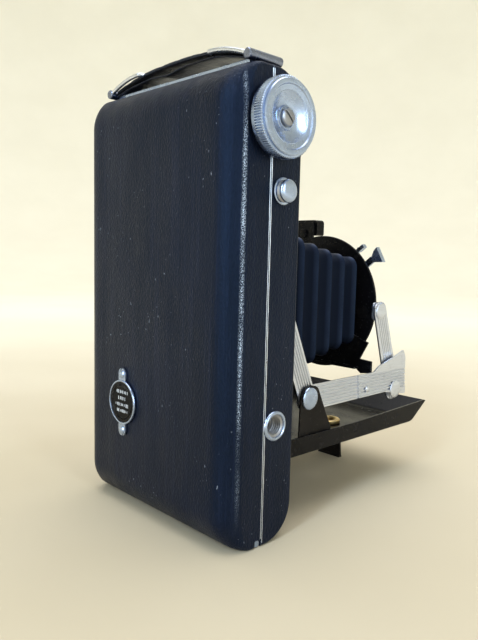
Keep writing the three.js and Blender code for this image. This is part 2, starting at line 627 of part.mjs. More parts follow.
// The foot: a knuckle with its pin, a tapering leg, and a lip turned along the table.
function foot() {
  const { x, halfW, y, z, tipY, pinR } = FOOT;
  const knuckle = rod("x", 0.95, x - halfW + 0.1, x + halfW - 0.1, y, z, 14);
  const pin = rod("x", pinR, x - halfW - 1.5, x + halfW + 1.5, y, z, 12);
  const side = prism("x", [
    [y - 0.5, z], [y + 0.5, z], [tipY + 0.5, 1], [tipY + 1.3, 0.3], [tipY + 1.3, 0],
    [tipY - 0.9, 0], [tipY - 0.5, 0.8],
  ], x - halfW, x + halfW);
  const plan = rounded([
    [z + 0.9, x - halfW + 0.6], [z + 0.9, x + halfW - 0.6], [-1, x + halfW], [-1, x - halfW],
  ]);
  return join(knuckle, pin, side.intersect(prism("y", plan, y - 6, y + 6)));
}

// ---------------------------------------------------------------- side linkage
function sideArm(near, far, side) {
  const outline = rounded([
    [RIVET.y + 4.4, 38.5, 4.3], [RIVET.y + 4.4, 47.3, 4.3], [-73.2, 47.3, 3], [-77, 49.6, 5],
    [-88, 52.4], [-94.4, 54.6, 0.8], [-96, 51.5, 1], [-97.1, 35.4, 1], [-81.4, 38.2], [-40, 37.9, 5],
  ]);
  const plate = prism("x", outline, near, far);
  const stud = turned("x", [[0, far - side * 0.1], [1.3, far - side * 0.1], [0.9, far + side * 0.5],
    [0, far + side * 0.6]], -69.2, 41, 16);
  const elbow = join(
    rod("x", 1.4, side * (LAYER.strut[0] - 0.1), far, ELBOW.y, ELBOW.z, 16),
    turned("x", [[0, far - side * 0.1], [3.6, far - side * 0.1], [3.4, far + side * 0.3],
      [2.2, far + side * 0.65], [0, far + side * 0.7]], ELBOW.y, ELBOW.z, 20),
  );
  return cut(join(plate, stud, elbow), rod("x", 1.6 + PLAY, near - side, far + side, RIVET.y, RIVET.z, 16));
}

// The upright strut: wide and round at the elbow, narrow and round at the standard.
function frontStrut(near, far, side) {
  return cut(
    prism("x", capsule(ELBOW, STANDARD_PIVOT, 4.5, 4, 12), near, far),
    rod("x", 1.4 + PLAY, near - side, far + side, ELBOW.y, ELBOW.z, 16),
    rod("x", 1.3 + PLAY, near - side, far + side, STANDARD_PIVOT.y, STANDARD_PIVOT.z, 16),
  );
}

// The rear brace: a round-ended strip from the rivet up into the body.
function rearBrace(near, far, side) {
  const length = 45;
  const lean = 66.2 * DEG;
  const r = 4.2;
  const end = { y: RIVET.y + length * Math.cos(lean), z: RIVET.z + length * Math.sin(lean) };
  return cut(
    prism("x", capsule(RIVET, end, r, r, 10), near, far),
    rod("x", 1.6 + PLAY, near - side, far + side, RIVET.y, RIVET.z, 16),
    rod("x", 1.5, near - side, far + side, end.y, end.z, 14),
  );
}

// ---------------------------------------------------------------- lens standard
function standardPlate() {
  const { y0, y1, z, r, holeR } = PLATE;
  const disc = rod("y", r, y0, y1, z, 0, 40);
  const finderTab = box(FINDER.x - 5, FINDER.x + 4, y0, y1, z + 18, FINDER.z + 2.4);
  const lugs = [-1, 1].flatMap((side) => [
    box(side * 25.5, side * 29.1, y0, y1, STANDARD_PIVOT.z - 4, STANDARD_PIVOT.z + 4),
    rod("x", 3.8, side * 28.4, side * 29.1, STANDARD_PIVOT.y, STANDARD_PIVOT.z, 20),
    rod("x", 1.3, side * 28.6, side * 30.4, STANDARD_PIVOT.y, STANDARD_PIVOT.z, 16),
    turned("x", [[0, side * 30.15], [3.2, side * 30.15], [3, side * 30.45], [1.6, side * 30.65],
      [0, side * 30.65]], STANDARD_PIVOT.y, STANDARD_PIVOT.z, 20),
  ]);
  const finderHole = rod("y", 1 + PLAY, y0 - 1, y1 + 1, FINDER.z, FINDER.x, 12);
  return cut(join(disc, finderTab, ...lugs), rod("y", holeR, y0 - 1, y1 + 1, z, 0, 28), finderHole);
}

// The black bar under the plate, with the web that rises behind it.
function standardYoke() {
  const y0 = PLATE.y1 + GAP;
  const y1 = y0 + 0.9;
  const half = [
    [47.4, 0], [47.4, 20.5], [45.4, 23.2], [46.2, 28.4], [51, 28.4], [51.4, 22.5], [58.5, 26.4],
  ];
  const mirrored = half.slice(1).reverse().map(([z, x]) => [z, -x]);
  const outline = [...half, [61.5, 18], [61.5, -18], ...mirrored];
  const sheet = prism("y", outline, y0, y1);
  const shelf = box(-22.5, 22.5, y0, y0 + 4, 47.4, 48.2);
  return join(sheet, shelf);
}

function shutterHousing() {
  const { r, y0, y1, boreR, grooveR } = SHUTTER;
  const neckR = PLATE.holeR - GAP;
  const [grooveY0, grooveY1] = [LEVER_Y.front - 0.2, LEVER_Y.rear + 0.2];
  const profile = [
    [boreR, y1 + 1.2], [boreR, y0], [r - 3, y0], [r - 0.6, y0 + 0.8], [r, y0 + 1.6], [r, grooveY0],
    [grooveR, grooveY0], [grooveR, grooveY1], [r, grooveY1], [r, y1], [neckR, y1], [neckR, y1 + 1.2],
    [boreR, y1 + 1.2],
  ];
  return turned("y", profile, PLATE.z, 0, 32);
}

function speedRing() {
  const y1 = SHUTTER.y0 - GAP;
  const y0 = y1 - 1.6;
  const teeth = 36;
  const outline = [];
  for (let i = 0; i < teeth; i += 1) {
    for (const [step, radius] of [[0, 21.4], [0.5, 21]]) {
      const a = (2 * Math.PI * (i + step)) / teeth;
      outline.push([PLATE.z + radius * Math.cos(a), radius * Math.sin(a)]);
    }
  }
  return cut(prism("y", outline, y0, y1), rod("y", 14.2, y0 - 1, y1 + 1, PLATE.z, 0, 32));
}

function focusRing() {
  const y1 = SHUTTER.y0 - GAP;
  const profile = [
    [8.9, y1], [8.9, y1 - 5.4], [12.2, y1 - 5.9], [12.8, y1 - 5.4], [13.2, y1 - 2.4], [13.6, y1 - 2.2],
    [13.6, y1 - 0.6], [13, y1], [8.9, y1],
  ];
  return turned("y", profile, PLATE.z, 0, 32);
}

function frontLens() {
  const y1 = SHUTTER.y0 - 1.2;
  const r = 8.6;
  return turned("y", [[0, y1], [r, y1], [r, y1 - 2.4], [6, y1 - 3.1], [3, y1 - 3.6], [0, y1 - 3.8]],
    PLATE.z, 0, 28);
}

function rearLens() {
  const y0 = PLATE.y1 + 0.7;
  const profile = [
    [0, y0], [8.6, y0], [8.6, y0 + 3.4], [7.6, y0 + 3.4], [7.6, y0 + 2.6], [4, y0 + 3], [0, y0 + 3.1],
  ];
  return turned("y", profile, PLATE.z, 0, 24);
}

// A thin lever that works in the groove round the shutter. Its angle is from +X towards +Z.
function lever(angle, r0, r1, width, tipWidth) {
  const along = new THREE.Vector2(Math.sin(angle), Math.cos(angle));
  const across = new THREE.Vector2(-along.y, along.x);
  const corner = (r, w) => {
    const at = along.clone().multiplyScalar(r).addScaledVector(across, w);
    return [PLATE.z + at.x, at.y];
  };
  const outline = [corner(r0, -width), corner(r0, width), corner(r1, tipWidth), corner(r1, -tipWidth)];
  return prism("y", outline, LEVER_Y.front, LEVER_Y.rear);
}

// The shutter release ends in a finger plate, and the aperture lever in a narrow tab.
function releaseLever() {
  const finger = [[91.3, -22], [96, -23.7], [97.6, -25.1], [91.5, -28.4]];
  return join(
    lever(141 * DEG, SHUTTER.grooveR + 0.3, 30, 1.4, 1.4),
    prism("y", finger, LEVER_Y.front - 1.4, LEVER_Y.rear),
  );
}

function apertureLever() {
  const tab = [[95.3, -16.2], [96.6, -15.3], [98.7, -18], [97.4, -19]];
  return join(
    lever(125.5 * DEG, SHUTTER.grooveR + 0.3, 28.5, 0.9, 0.9),
    prism("y", tab, LEVER_Y.front - 1.4, LEVER_Y.rear),
  );
}

function finderBody() {
  const { x, z, halfW, halfH, y0, y1 } = FINDER;
  const outline = rounded([[z - halfH, x - halfW, 0.8], [z - halfH, x + halfW, 0.8],
    [z + halfH, x + halfW, 0.8], [z + halfH, x - halfW, 0.8]]);
  const shell = prism("y", outline, y0, y1);
  const tunnel = box(x - halfW + 1.4, x + halfW - 1.4, y0 - 1, y1 - 0.8, z - halfH + 1, z + halfH - 1);
  const pivot = rod("y", 1, y1 - 1, PLATE.y1 + 0.5, z, x, 12);
  const pinHead = rod("y", 1.8, PLATE.y1 + 0.3, PLATE.y1 + 0.9, z, x, 12);
  return join(cut(shell, tunnel), pivot, pinHead);
}

function finderLens() {
  const { x, z, halfW, halfH, y0 } = FINDER;
  const inset = 1.4 + GAP;
  return box(x - halfW + inset, x + halfW - inset, y0 + 0.3, y0 + 1.3, z - halfH + 1.3, z + halfH - 1.3);
}

// ---------------------------------------------------------------- bellows
// A pleated sleeve from the film gate to the standard, made of rings of eight points.
function bellowsRing(y, halfW, halfH, centreZ, bevel) {
  const points = [];
  for (const [sx, sz] of [[1, -1], [1, 1], [-1, 1], [-1, -1]]) {
    const alongX = [sx * halfW, centreZ + sz * (halfH - bevel)];
    const alongZ = [sx * (halfW - bevel), centreZ + sz * halfH];
    const pair = sx * sz < 0 ? [alongZ, alongX] : [alongX, alongZ];
    points.push(...pair.map(([x, z]) => new THREE.Vector3(x, y, z)));
  }
  return points;
}

function bellows() {
  const rearY = WELL.gateY - GAP;
  const frontY = PLATE.y1 + 1.5;
  const pleats = 9;
  const thick = 1;
  const rings = [];
  for (let i = 0; i <= 2 * pleats; i += 1) {
    const t = i / (2 * pleats);
    const y = rearY + (frontY - rearY) * t;
    const dip = i % 2 ? 1.8 : 0;
    const halfW = 28 - 8.5 * t - dip;
    const halfH = 18.4 + 19.6 * (1 - t) ** 1.3 - dip;
    rings.push({ y, halfW, halfH, centreZ: 75 });
  }
  const loops = [
    ...rings.map((r) => bellowsRing(r.y, r.halfW, r.halfH, r.centreZ, 2.6)),
    ...rings.reverse().map((r) => bellowsRing(r.y, r.halfW - thick, r.halfH - thick, r.centreZ, 2)),
  ];
  const count = loops[0].length;
  const index = [];
  loops.forEach((_, i) => {
    const next = (i + 1) % loops.length;
    for (let k = 0; k < count; k += 1) {
      const a = i * count + k;
      const b = i * count + ((k + 1) % count);
      const c = next * count + k;
      const d = next * count + ((k + 1) % count);
      index.push(a, b, c, b, d, c);
    }
  });
  const geometry = new THREE.BufferGeometry().setFromPoints(loops.flat());
  geometry.setIndex(index);
  return solid(geometry);
}

// ---------------------------------------------------------------- assembly
add("front_body", frontBody(), "leather");
add("film_gate_frame", filmGateFrame(), "innerBlack");
add("handle_rail", handleRail(), "nickel");
add("strap_clip_left", strapClip(1), "darkNickel");
add("strap_clip_right", strapClip(-1), "darkNickel");
add("strap", strap(), "strap");
add("knob_bearing", knobBearing(), "steel");
add("button_collar", buttonCollar(), "nickel");
add("release_spring", releaseSpring(), "steel");
add("tripod_socket", tripodSocket(), "nickel");
add("bed_hinge_pin", rod("x", BED_HINGE.r, 0.2 - WELL.halfW - WELL.wall, WELL.halfW + WELL.wall - 0.2,
  BED_HINGE.y, BED_HINGE.z, 12), "steel");
add("back_hinge_fixed_leaf", hingeFixedLeaf(), "nickel");
add("spool_pin_supply_left", spoolPin(1, SPOOL.zLow), "steel");
add("spool_pin_supply_right", spoolPin(-1, SPOOL.zLow), "steel");
add("spool_pin_take_up", spoolPin(1, SPOOL.zHigh), "steel");
add("film_roller_lower", filmRoller(ROLLER.zLow), "steel");
add("film_roller_upper", filmRoller(ROLLER.zHigh), "steel");
add("supply_spool", filmSpool(SPOOL.zLow), "innerBlack");
add("take_up_spool", filmSpool(SPOOL.zHigh), "innerBlack");
add("wind_key", windKey(), "steel");
add("wind_knob", windKnob(), "nickel");
add("wind_knob_screw", windKnobScrew(), "nickel");
add("release_button", releaseButton(), "nickel");
add("bed_catch", bedCatch(), "steel");

add("back_cover", backCover(), "leather");
add("back_hinge_moving_leaf", hingeMovingLeaf(), "nickel");
add("back_latch", backLatch(), "nickel");
add("pressure_plate", pressurePlate(), "innerBlack");
add("pressure_spring_lower", pressureSpring(40), "steel");
add("pressure_spring_upper", pressureSpring(84), "steel");
add("window_ring", windowRing(), "nickel");
add("window_glass", rod("y", WINDOW.r, BACK_Y - 0.95, BACK_Y - 0.05, WINDOW.z, WINDOW.x, 24), "redGlass");
add("window_cover", windowCover(), "enamel");

add("bed_plate", bedPlate(), "enamel");
add("bed_bush", bedBush(), "brass");
addPair("bed_ear", LAYER.ear, bedEar, "enamel");
add("bed_rivet_left", bedRivet(1), "nickel");
add("bed_rivet_right", bedRivet(-1), "nickel");
add("foot_bracket", footBracket(), "enamel");
add("foot", foot(), "enamel");

addPair("side_arm", LAYER.arm, sideArm, "satin");
addPair("front_strut", LAYER.strut, frontStrut, "satin");
addPair("rear_brace", LAYER.brace, rearBrace, "satin");

add("standard_plate", standardPlate(), "enamel");
add("standard_yoke", standardYoke(), "enamel");
add("shutter_housing", shutterHousing(), "enamel");
add("speed_ring", speedRing(), "nickel");
add("focus_ring", focusRing(), "nickel");
add("front_lens", frontLens(), "glass");
add("rear_lens", rearLens(), "glass");
add("release_lever", releaseLever(), "nickel");
add("aperture_lever", apertureLever(), "nickel");
add("finder_body", finderBody(), "enamel");
add("finder_lens", finderLens(), "glass");
add("bellows", bellows(), "bellows");

export default group;
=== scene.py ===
"""Looks of a folding roll-film camera, standing on end with its bed open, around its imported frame.

Shapes are written in millimetres and turned into metres when a piece is made.
+Z runs up the body, -Y is the way the lens looks and the winding knob is on the -X side.
"""
import math
import random

import bmesh
import bpy
import numpy as np
from mathutils import Matrix, Vector


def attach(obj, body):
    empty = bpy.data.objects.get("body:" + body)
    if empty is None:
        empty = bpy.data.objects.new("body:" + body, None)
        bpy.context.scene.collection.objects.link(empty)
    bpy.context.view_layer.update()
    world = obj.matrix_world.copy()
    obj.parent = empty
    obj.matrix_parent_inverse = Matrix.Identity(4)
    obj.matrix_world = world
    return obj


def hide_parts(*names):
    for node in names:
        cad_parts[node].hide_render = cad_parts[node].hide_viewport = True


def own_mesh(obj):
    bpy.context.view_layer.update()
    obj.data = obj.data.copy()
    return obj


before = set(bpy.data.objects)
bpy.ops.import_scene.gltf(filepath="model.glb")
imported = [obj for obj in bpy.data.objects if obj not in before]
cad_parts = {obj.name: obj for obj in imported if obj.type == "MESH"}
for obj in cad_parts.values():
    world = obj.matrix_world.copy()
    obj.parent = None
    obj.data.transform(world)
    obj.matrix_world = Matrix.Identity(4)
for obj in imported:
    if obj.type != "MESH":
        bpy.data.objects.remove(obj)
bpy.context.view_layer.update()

MM = 0.001

# ---------------------------------------------------------------- dimensions, as in the CAD model
HALF_W = 40.5
HALF_D = 15.0
HEIGHT = 150.0
END_R = 12.2
SEAM = {"front": -1.35, "back": -1.05}
SPOOL = (-2.2, 134.0)
BUTTON = (-6.4, 113.2)
SOCKET = (-5.8, 39.2)
WINDOW = (14.5, 39.6)
BED = {"half": 34.2, "floor": 23.5, "rim": 29.9}
BUSH = (-15.0, -66.0)
RIVET = (-31.5, 43.0)
ELBOW = (-89.0, 38.4)
PIVOT = (-78.0, 71.6)
LAYER = {"strut": (29.4, 30.1), "arm": (30.9, 31.5), "brace": (31.75, 32.3), "ear": (32.55, 33.2)}
LENS_Z = 73.7
STRAP_END, STRAP_BASE, STRAP_CREST = 35.0, 152.7, 156.9
CLIP_X, CLIP_Z, CLIP_WIRE = 37.2, 152.0, 0.72
BELLOWS = {"rear": 8.7, "front": -75.1, "pleats": 9, "fine": 12, "z": 75, "skin": 0.6, "folded": 0.06}
AXES = {
    "x": ((0, 1, 0), (0, 0, 1), (1, 0, 0)),
    "y": ((0, 0, 1), (1, 0, 0), (0, 1, 0)),
    "z": ((1, 0, 0), (0, 1, 0), (0, 0, 1)),
}


# ---------------------------------------------------------------- shapes: (points, faces) in mm
def along_axes(axis, u, v, w):
    """The point at u, v across an axis and w along it."""
    a, b, c = (np.array(t, float) for t in AXES[axis])
    return tuple(a * u + b * v + c * w)


def merged(*shapes):
    points, faces = [], []
    for p, f in shapes:
        base = len(points)
        points += list(p)
        faces += [tuple(i + base for i in face) for face in f]
    return points, faces


def loft(loops, closed=False, caps=True):
    """Faces between loops of the same number of points; the row of loops may close on itself."""
    n = len(loops[0])
    points = [tuple(p) for loop in loops for p in loop]
    faces = []
    for i in range(len(loops) if closed else len(loops) - 1):
        j = (i + 1) % len(loops)
        for k in range(n):
            m = (k + 1) % n
            faces.append((i * n + k, i * n + m, j * n + m, j * n + k))
    if caps and not closed:
        faces.append(tuple(reversed(range(n))))
        faces.append(tuple(range((len(loops) - 1) * n, len(loops) * n)))
    return points, faces


def prism(axis, outline, start, end):
    """An outline pushed along an axis: (y, z) along x, (z, x) along y, (x, y) along z."""
    return loft([[along_axes(axis, u, v, w) for u, v in outline] for w in (start, end)])


def box(x0, x1, y0, y1, z0, z1):
    return prism("z", [(x0, y0), (x1, y0), (x1, y1), (x0, y1)], z0, z1)


def turned(axis, profile, centre=(0, 0), n=64, teeth=0, bite=0.0, band=()):
    """A turned body from (radius, place) pairs; rows of the profile named in band are knurled."""
    u0, v0 = centre
    loops = []
    for row, (radius, w) in enumerate(profile):
        loop = []
        for k in range(n):
            a = 2 * math.pi * k / n
            r = max(radius, 1e-3)
            if row in band:
                r -= bite * abs(math.sin(a * teeth / 2))
            loop.append(along_axes(axis, u0 + r * math.cos(a), v0 + r * math.sin(a), w))
        loops.append(loop)
    hollow = profile[0] == profile[-1]
    return loft(loops[:-1], closed=True) if hollow else loft(loops)


def rod(axis, r, start, end, centre, n=40):
    return turned(axis, [(0, start), (r, start), (r, end), (0, end)], centre, n)


def rounded(corners, step=9):
    """A closed outline from [u, v, radius] corners, its arcs in steps of a few degrees."""
    out = []
    count = len(corners)
    for i, corner in enumerate(corners):
        here = Vector(corner[:2])
        radius = corner[2] if len(corner) > 2 else 0
        before = (Vector(corners[i - 1][:2]) - here).normalized()
        after = (Vector(corners[(i + 1) % count][:2]) - here).normalized()
        if not radius:
            out.append(tuple(here))
            continue
        half = math.acos(max(-1, min(1, before.dot(after)))) / 2
        centre = here + (before + after).normalized() * (radius / math.sin(half))
        start = here + before * (radius / math.tan(half)) - centre
        end = here + after * (radius / math.tan(half)) - centre
        a0 = math.atan2(start.y, start.x)
        sweep = (math.atan2(end.y, end.x) - a0 + math.pi) % (2 * math.pi) - math.pi
        steps = max(2, math.ceil(abs(math.degrees(sweep)) / step))
        for k in range(steps + 1):
            a = a0 + sweep * k / steps
            out.append((centre.x + radius * math.cos(a), centre.y + radius * math.sin(a)))
    return out


# ---------------------------------------------------------------- pieces
def to_object(name, shape):
    points, faces = shape
    mesh = bpy.data.meshes.new(name)
    mesh.from_pydata([tuple(c * MM for c in p) for p in points], [], faces)
    work = bmesh.new()
    work.from_mesh(mesh)
    bmesh.ops.remove_doubles(work, verts=work.verts, dist=2e-6)
    bmesh.ops.dissolve_degenerate(work, edges=work.edges, dist=1e-7)
    bmesh.ops.recalc_face_normals(work, faces=work.faces)
    work.to_mesh(mesh)
    work.free()
    thing = bpy.data.objects.new(name, mesh)
    bpy.context.scene.collection.objects.link(thing)
    return thing


def settle(thing):
    """Applies the modifiers, so that the piece is its final mesh."""
    graph = bpy.context.evaluated_depsgraph_get()
    mesh = bpy.data.meshes.new_from_object(thing.evaluated_get(graph))
    thing.modifiers.clear()
    thing.data = mesh
    return thing


def carve(thing, *tools, how="DIFFERENCE"):
    for tool in tools:
        cutter = to_object("cutter", tool)
        modifier = thing.modifiers.new("cut", "BOOLEAN")
        modifier.operation = how
        modifier.solver = "EXACT"
        modifier.object = cutter
        settle(thing)
        bpy.data.objects.remove(cutter)
    return thing


def solidified(thing, thickness):
    modifier = thing.modifiers.new("wall", "SOLIDIFY")
    modifier.thickness = thickness * MM
    modifier.offset = -1
    modifier.use_even_offset = True
    return settle(thing)


def dress(thing, body, finish, nodes=(), bevel=0.0, angle=32):
    """Bevels, smooths and names a piece's finish, and lets it ride on its body."""
    if bevel:
        modifier = thing.modifiers.new("bevel", "BEVEL")
        modifier.width = bevel * MM
        modifier.segments = 2
        modifier.limit_method = "ANGLE"
        modifier.angle_limit = math.radians(38)
        modifier.use_clamp_overlap = True
        settle(thing)
    thing.data.shade_smooth()
    thing.data.set_sharp_from_angle(angle=math.radians(angle))
    modifier = thing.modifiers.new("normals", "WEIGHTED_NORMAL")
    modifier.keep_sharp = True
    modifier.weight = 60
    settle(thing)
    thing.data.materials.clear()
    thing.data.materials.append(MATERIALS[finish])
    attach(thing, body)
    if nodes:
        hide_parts(*nodes)
    return thing


def make(name, shape, body, finish, nodes=(), bevel=0.0, angle=32, cuts=()):
    thing = to_object(name, shape)
    if cuts:
        carve(thing, *cuts)
    return dress(thing, body, finish, nodes, bevel, angle)


# ---------------------------------------------------------------- finishes
class Finish:
    """A procedural material on a Principled shader, in the piece's own coordinates."""

    def __init__(self, name, **plain):
        self.material = bpy.data.materials.new(name)
        self.material.use_nodes = True
        self.tree = self.material.node_tree
        self.shader = self.tree.nodes["Principled BSDF"]
        self.coords = self.tree.nodes.new("ShaderNodeTexCoord").outputs["Object"]
        for key, value in plain.items():
            self.shader.inputs[key.replace("_", " ")].default_value = value

    def link(self, value, socket):
        if isinstance(value, bpy.types.NodeSocket):
            self.tree.links.new(value, socket)
        else:
            socket.default_value = value

    def scaled(self, per_mm, stretch, turn=(0, 0, 0)):
        mapping = self.tree.nodes.new("ShaderNodeMapping")
        self.tree.links.new(self.coords, mapping.inputs["Vector"])
        mapping.inputs["Scale"].default_value = [1000 * per_mm / s for s in stretch]
        mapping.inputs["Rotation"].default_value = turn
        return mapping.outputs["Vector"]

    def noise(self, per_mm, stretch=(1, 1, 1), detail=3.0, rough=0.55, turn=(0, 0, 0)):
        """Noise with so many features to the millimetre, drawn out along an axis by stretch."""
        node = self.tree.nodes.new("ShaderNodeTexNoise")
        node.inputs["Scale"].default_value = 1
        node.inputs["Detail"].default_value = detail
        node.inputs["Roughness"].default_value = rough
        self.tree.links.new(self.scaled(per_mm, stretch, turn), node.inputs["Vector"])
        return node.outputs["Fac"]

    def cells(self, per_mm, stretch=(1, 1, 1)):
        """Distance to the nearest of so many scattered points to the millimetre."""
        node = self.tree.nodes.new("ShaderNodeTexVoronoi")
        node.inputs["Scale"].default_value = 1
        self.tree.links.new(self.scaled(per_mm, stretch), node.inputs["Vector"])
        return node.outputs["Distance"]

    def ramp(self, value, *stops):
        """Maps a value through (place, shade or colour) stops."""
        node = self.tree.nodes.new("ShaderNodeValToRGB")
        elements = node.color_ramp.elements
        while len(elements) < len(stops):
            elements.new(0.5)
        for element, (place, shade) in zip(elements, stops):
            element.position = place
            element.color = (*shade, 1) if isinstance(shade, tuple) else (shade, shade, shade, 1)
        self.link(value, node.inputs["Fac"])
        return node.outputs["Color"]

    def mix(self, share, a, b):
        node = self.tree.nodes.new("ShaderNodeMix")
        node.data_type = "RGBA"
        self.link(share, node.inputs["Factor"])
        for value, socket in ((a, node.inputs[6]), (b, node.inputs[7])):
            self.link((*value, 1) if isinstance(value, tuple) else value, socket)
        return node.outputs[2]

    def math(self, how, a, b=0.0):
        """Arithmetic kept between 0 and 1, for shares and masks."""
        value = self.math_free(how, a, b)
        value.node.use_clamp = how in ("ADD", "MULTIPLY", "SUBTRACT")
        return value

    def place(self, axis):
        split = self.tree.nodes.new("ShaderNodeSeparateXYZ")
        self.tree.links.new(self.coords, split.inputs[0])
        return split.outputs[axis.upper()]

    def near(self, axis, where, reach):
        """1 at a place along an axis (mm), falling to 0 at the reach."""
        gap = self.math("ABSOLUTE", self.math_free("SUBTRACT", self.place(axis), where * MM))
        return self.math("SUBTRACT", 1.0, self.math_free("DIVIDE", gap, reach * MM))

    def math_free(self, how, a, b=0.0):
        node = self.tree.nodes.new("ShaderNodeMath")
        node.operation = how
        self.link(a, node.inputs[0])
        self.link(b, node.inputs[1])
        return node.outputs[0]

    def edges(self, reach, low=0.80, high=0.985):
        """1 along outer and inner edges within a reach in mm, 0 on open faces."""
        soft = self.tree.nodes.new("ShaderNodeBevel")
        soft.samples = 4
        soft.inputs["Radius"].default_value = reach * MM
        true = self.tree.nodes.new("ShaderNodeNewGeometry")
        dot = self.tree.nodes.new("ShaderNodeVectorMath")
        dot.operation = "DOT_PRODUCT"
        self.tree.links.new(soft.outputs["Normal"], dot.inputs[0])
        self.tree.links.new(true.outputs["Normal"], dot.inputs[1])
        return self.ramp(dot.outputs["Value"], (low, 1.0), (high, 0.0))

    def bump(self, *layers):
        """Stacks (height, strength, depth in mm) layers of bump."""
        normal = None
        for height, strength, depth in layers:
            node = self.tree.nodes.new("ShaderNodeBump")
            node.inputs["Strength"].default_value = strength
            node.inputs["Distance"].default_value = depth * MM
            self.link(height, node.inputs["Height"])
            if normal:
                self.tree.links.new(normal, node.inputs["Normal"])
            normal = node.outputs["Normal"]
        self.tree.links.new(normal, self.shader.inputs["Normal"])

    def surface(self, colour, roughness):
        self.link(colour, self.shader.inputs["Base Color"])
        self.link(roughness, self.shader.inputs["Roughness"])
        return self.material


def leather(name, deep, pale, grain, wear, roughness=(0.36, 0.56), rubbed=()):
    """Grained leatherette: fine upright grain, faint streaks, pale specks and rubbed places."""
    f = Finish(name, Specular_IOR_Level=0.26)
    f.shader.inputs["Specular Tint"].default_value = (0.3, 0.52, 1.0, 1)
    fine = f.noise(grain, (1, 1, 3.2), 4, 0.6)
    pores = f.cells(grain * 0.8, (1, 1, 2.4))
    streaks = f.noise(1.1, (1, 1, 60), 3, 0.6)
    broad = f.noise(0.03, (1, 1, 1.6), 3, 0.5)
    base = f.mix(f.ramp(fine, (0.35, 0.0), (0.7, 1.0)), deep, pale)
    base = f.mix(f.ramp(broad, (0.38, 0.0), (0.7, 0.42)), base, tuple(c * 1.5 for c in pale))
    base = f.mix(f.ramp(streaks, (0.52, 0.0), (0.74, 0.5)), base, tuple(c * 2.6 for c in pale))
    specks = f.math("MULTIPLY", f.ramp(f.noise(1.5, (1, 1, 1.8), 1, 0.4), (0.75, 0.0), (0.79, 1.0)),
                    f.ramp(f.noise(0.05, (1, 1, 1), 2, 0.5), (0.45, 0.0), (0.62, 1.0)))
    base = f.mix(f.math("MULTIPLY", specks, 0.6), base, (0.3, 0.34, 0.42))
    crumbs = f.ramp(f.noise(4.2, (1, 1, 1.7), 3, 0.7), (0.5, 0.0), (0.6, 1.0))
    base = f.mix(f.math("MULTIPLY", crumbs, f.math("MULTIPLY", f.edges(0.5), 0.55)), base, wear)
    for axis, where, reach, limit_axis, limit in rubbed:
        band = f.math("MULTIPLY", f.near(axis, where, reach), f.near(limit_axis, limit[0], limit[1]))
        band = f.math("MULTIPLY", band, f.ramp(f.noise(0.09, (1, 1, 2), 3), (0.35, 0.3), (0.55, 1.6)))
        band = f.math("MULTIPLY", band, f.math("LESS_THAN", f.place("x"), -0.039))
        base = f.mix(f.math("MULTIPLY", band, crumbs), base, wear)
    dull = f.ramp(f.noise(0.12, (1, 1, 4), 4, 0.6), (0.3, roughness[0]), (0.75, roughness[1]))
    f.bump((streaks, 0.4, 0.14), (pores, 0.6, 0.14), (fine, 0.7, 0.16))
    return f.surface(base, dull)


def polished(name, tint, tarnish, roughness, scratch=0.1, metal=1.0):
    """Plated metal: soft cloudy tarnish, hairline scratches and fine pitting."""
    f = Finish(name, Metallic=metal)
    cloud = f.noise(0.22, detail=5, rough=0.6)
    pits = f.noise(3.4, detail=2, rough=0.5)
    hair = f.noise(5.0, (1, 9, 2), 2, 0.6)
    base = f.mix(f.ramp(cloud, (0.45, 0.0), (0.75, 0.5)), tint, tarnish)
    base = f.mix(f.ramp(pits, (0.68, 0.0), (0.76, 0.35)), base, tuple(c * 0.45 for c in tarnish))
    low, high = roughness
    f.bump((hair, scratch, 0.02), (pits, scratch * 1.6, 0.02))
    return f.surface(base, f.ramp(cloud, (0.3, low), (0.7, high)))


def brushed(name, tint, tarnish, roughness):
    """Satin strip metal with rolling lines across the grain of the piece and brown stains."""
    f = Finish(name, Metallic=1.0)
    lines = f.noise(4.0, (1, 26, 2.2), 3, 0.6, (0.2, 0, 0))
    stain = f.noise(0.35, detail=5, rough=0.65)
    base = f.mix(f.ramp(lines, (0.3, 0.0), (0.8, 0.55)), tint, tarnish)
    base = f.mix(f.ramp(stain, (0.6, 0.0), (0.76, 0.4)), base, tuple(c * 0.5 for c in tarnish))
    f.bump((lines, 0.16, 0.03), (stain, 0.1, 0.05))
    return f.surface(base, f.ramp(stain, (0.3, roughness[0]), (0.75, roughness[1])))


def enamel(name, deep, dust, roughness, coat):
    """Stoved black enamel with dust, fine scuffs and bare metal where the edges are rubbed."""
    f = Finish(name, Coat_Weight=coat, Coat_Roughness=0.08, Specular_IOR_Level=0.1)
    cloud = f.noise(0.11, detail=5, rough=0.6)
    specks = f.ramp(f.noise(1.3, detail=1, rough=0.4), (0.68, 0.0), (0.74, 1.0))
    scuffs = f.ramp(f.noise(1.6, (14, 1, 1), 3, 0.7, (0, 0, 0.5)), (0.62, 0.0), (0.72, 0.6))
    base = f.mix(f.ramp(cloud, (0.4, 0.0), (0.75, 0.5)), deep, dust)
    base = f.mix(f.math("MULTIPLY", specks, 0.35), base, tuple(c * 5 for c in dust))
    base = f.mix(f.math("MULTIPLY", scuffs, 0.3), base, tuple(c * 3 for c in dust))
    base = f.mix(f.math("MULTIPLY", f.edges(0.22), f.ramp(f.noise(0.5), (0.5, 0.0), (0.62, 0.5))),
                 base, (0.3, 0.29, 0.28))
    f.bump((f.noise(1.2, detail=2), 0.05, 0.05), (scuffs, 0.05, 0.02))
    return f.surface(base, f.ramp(cloud, (0.3, roughness[0]), (0.75, roughness[1])))


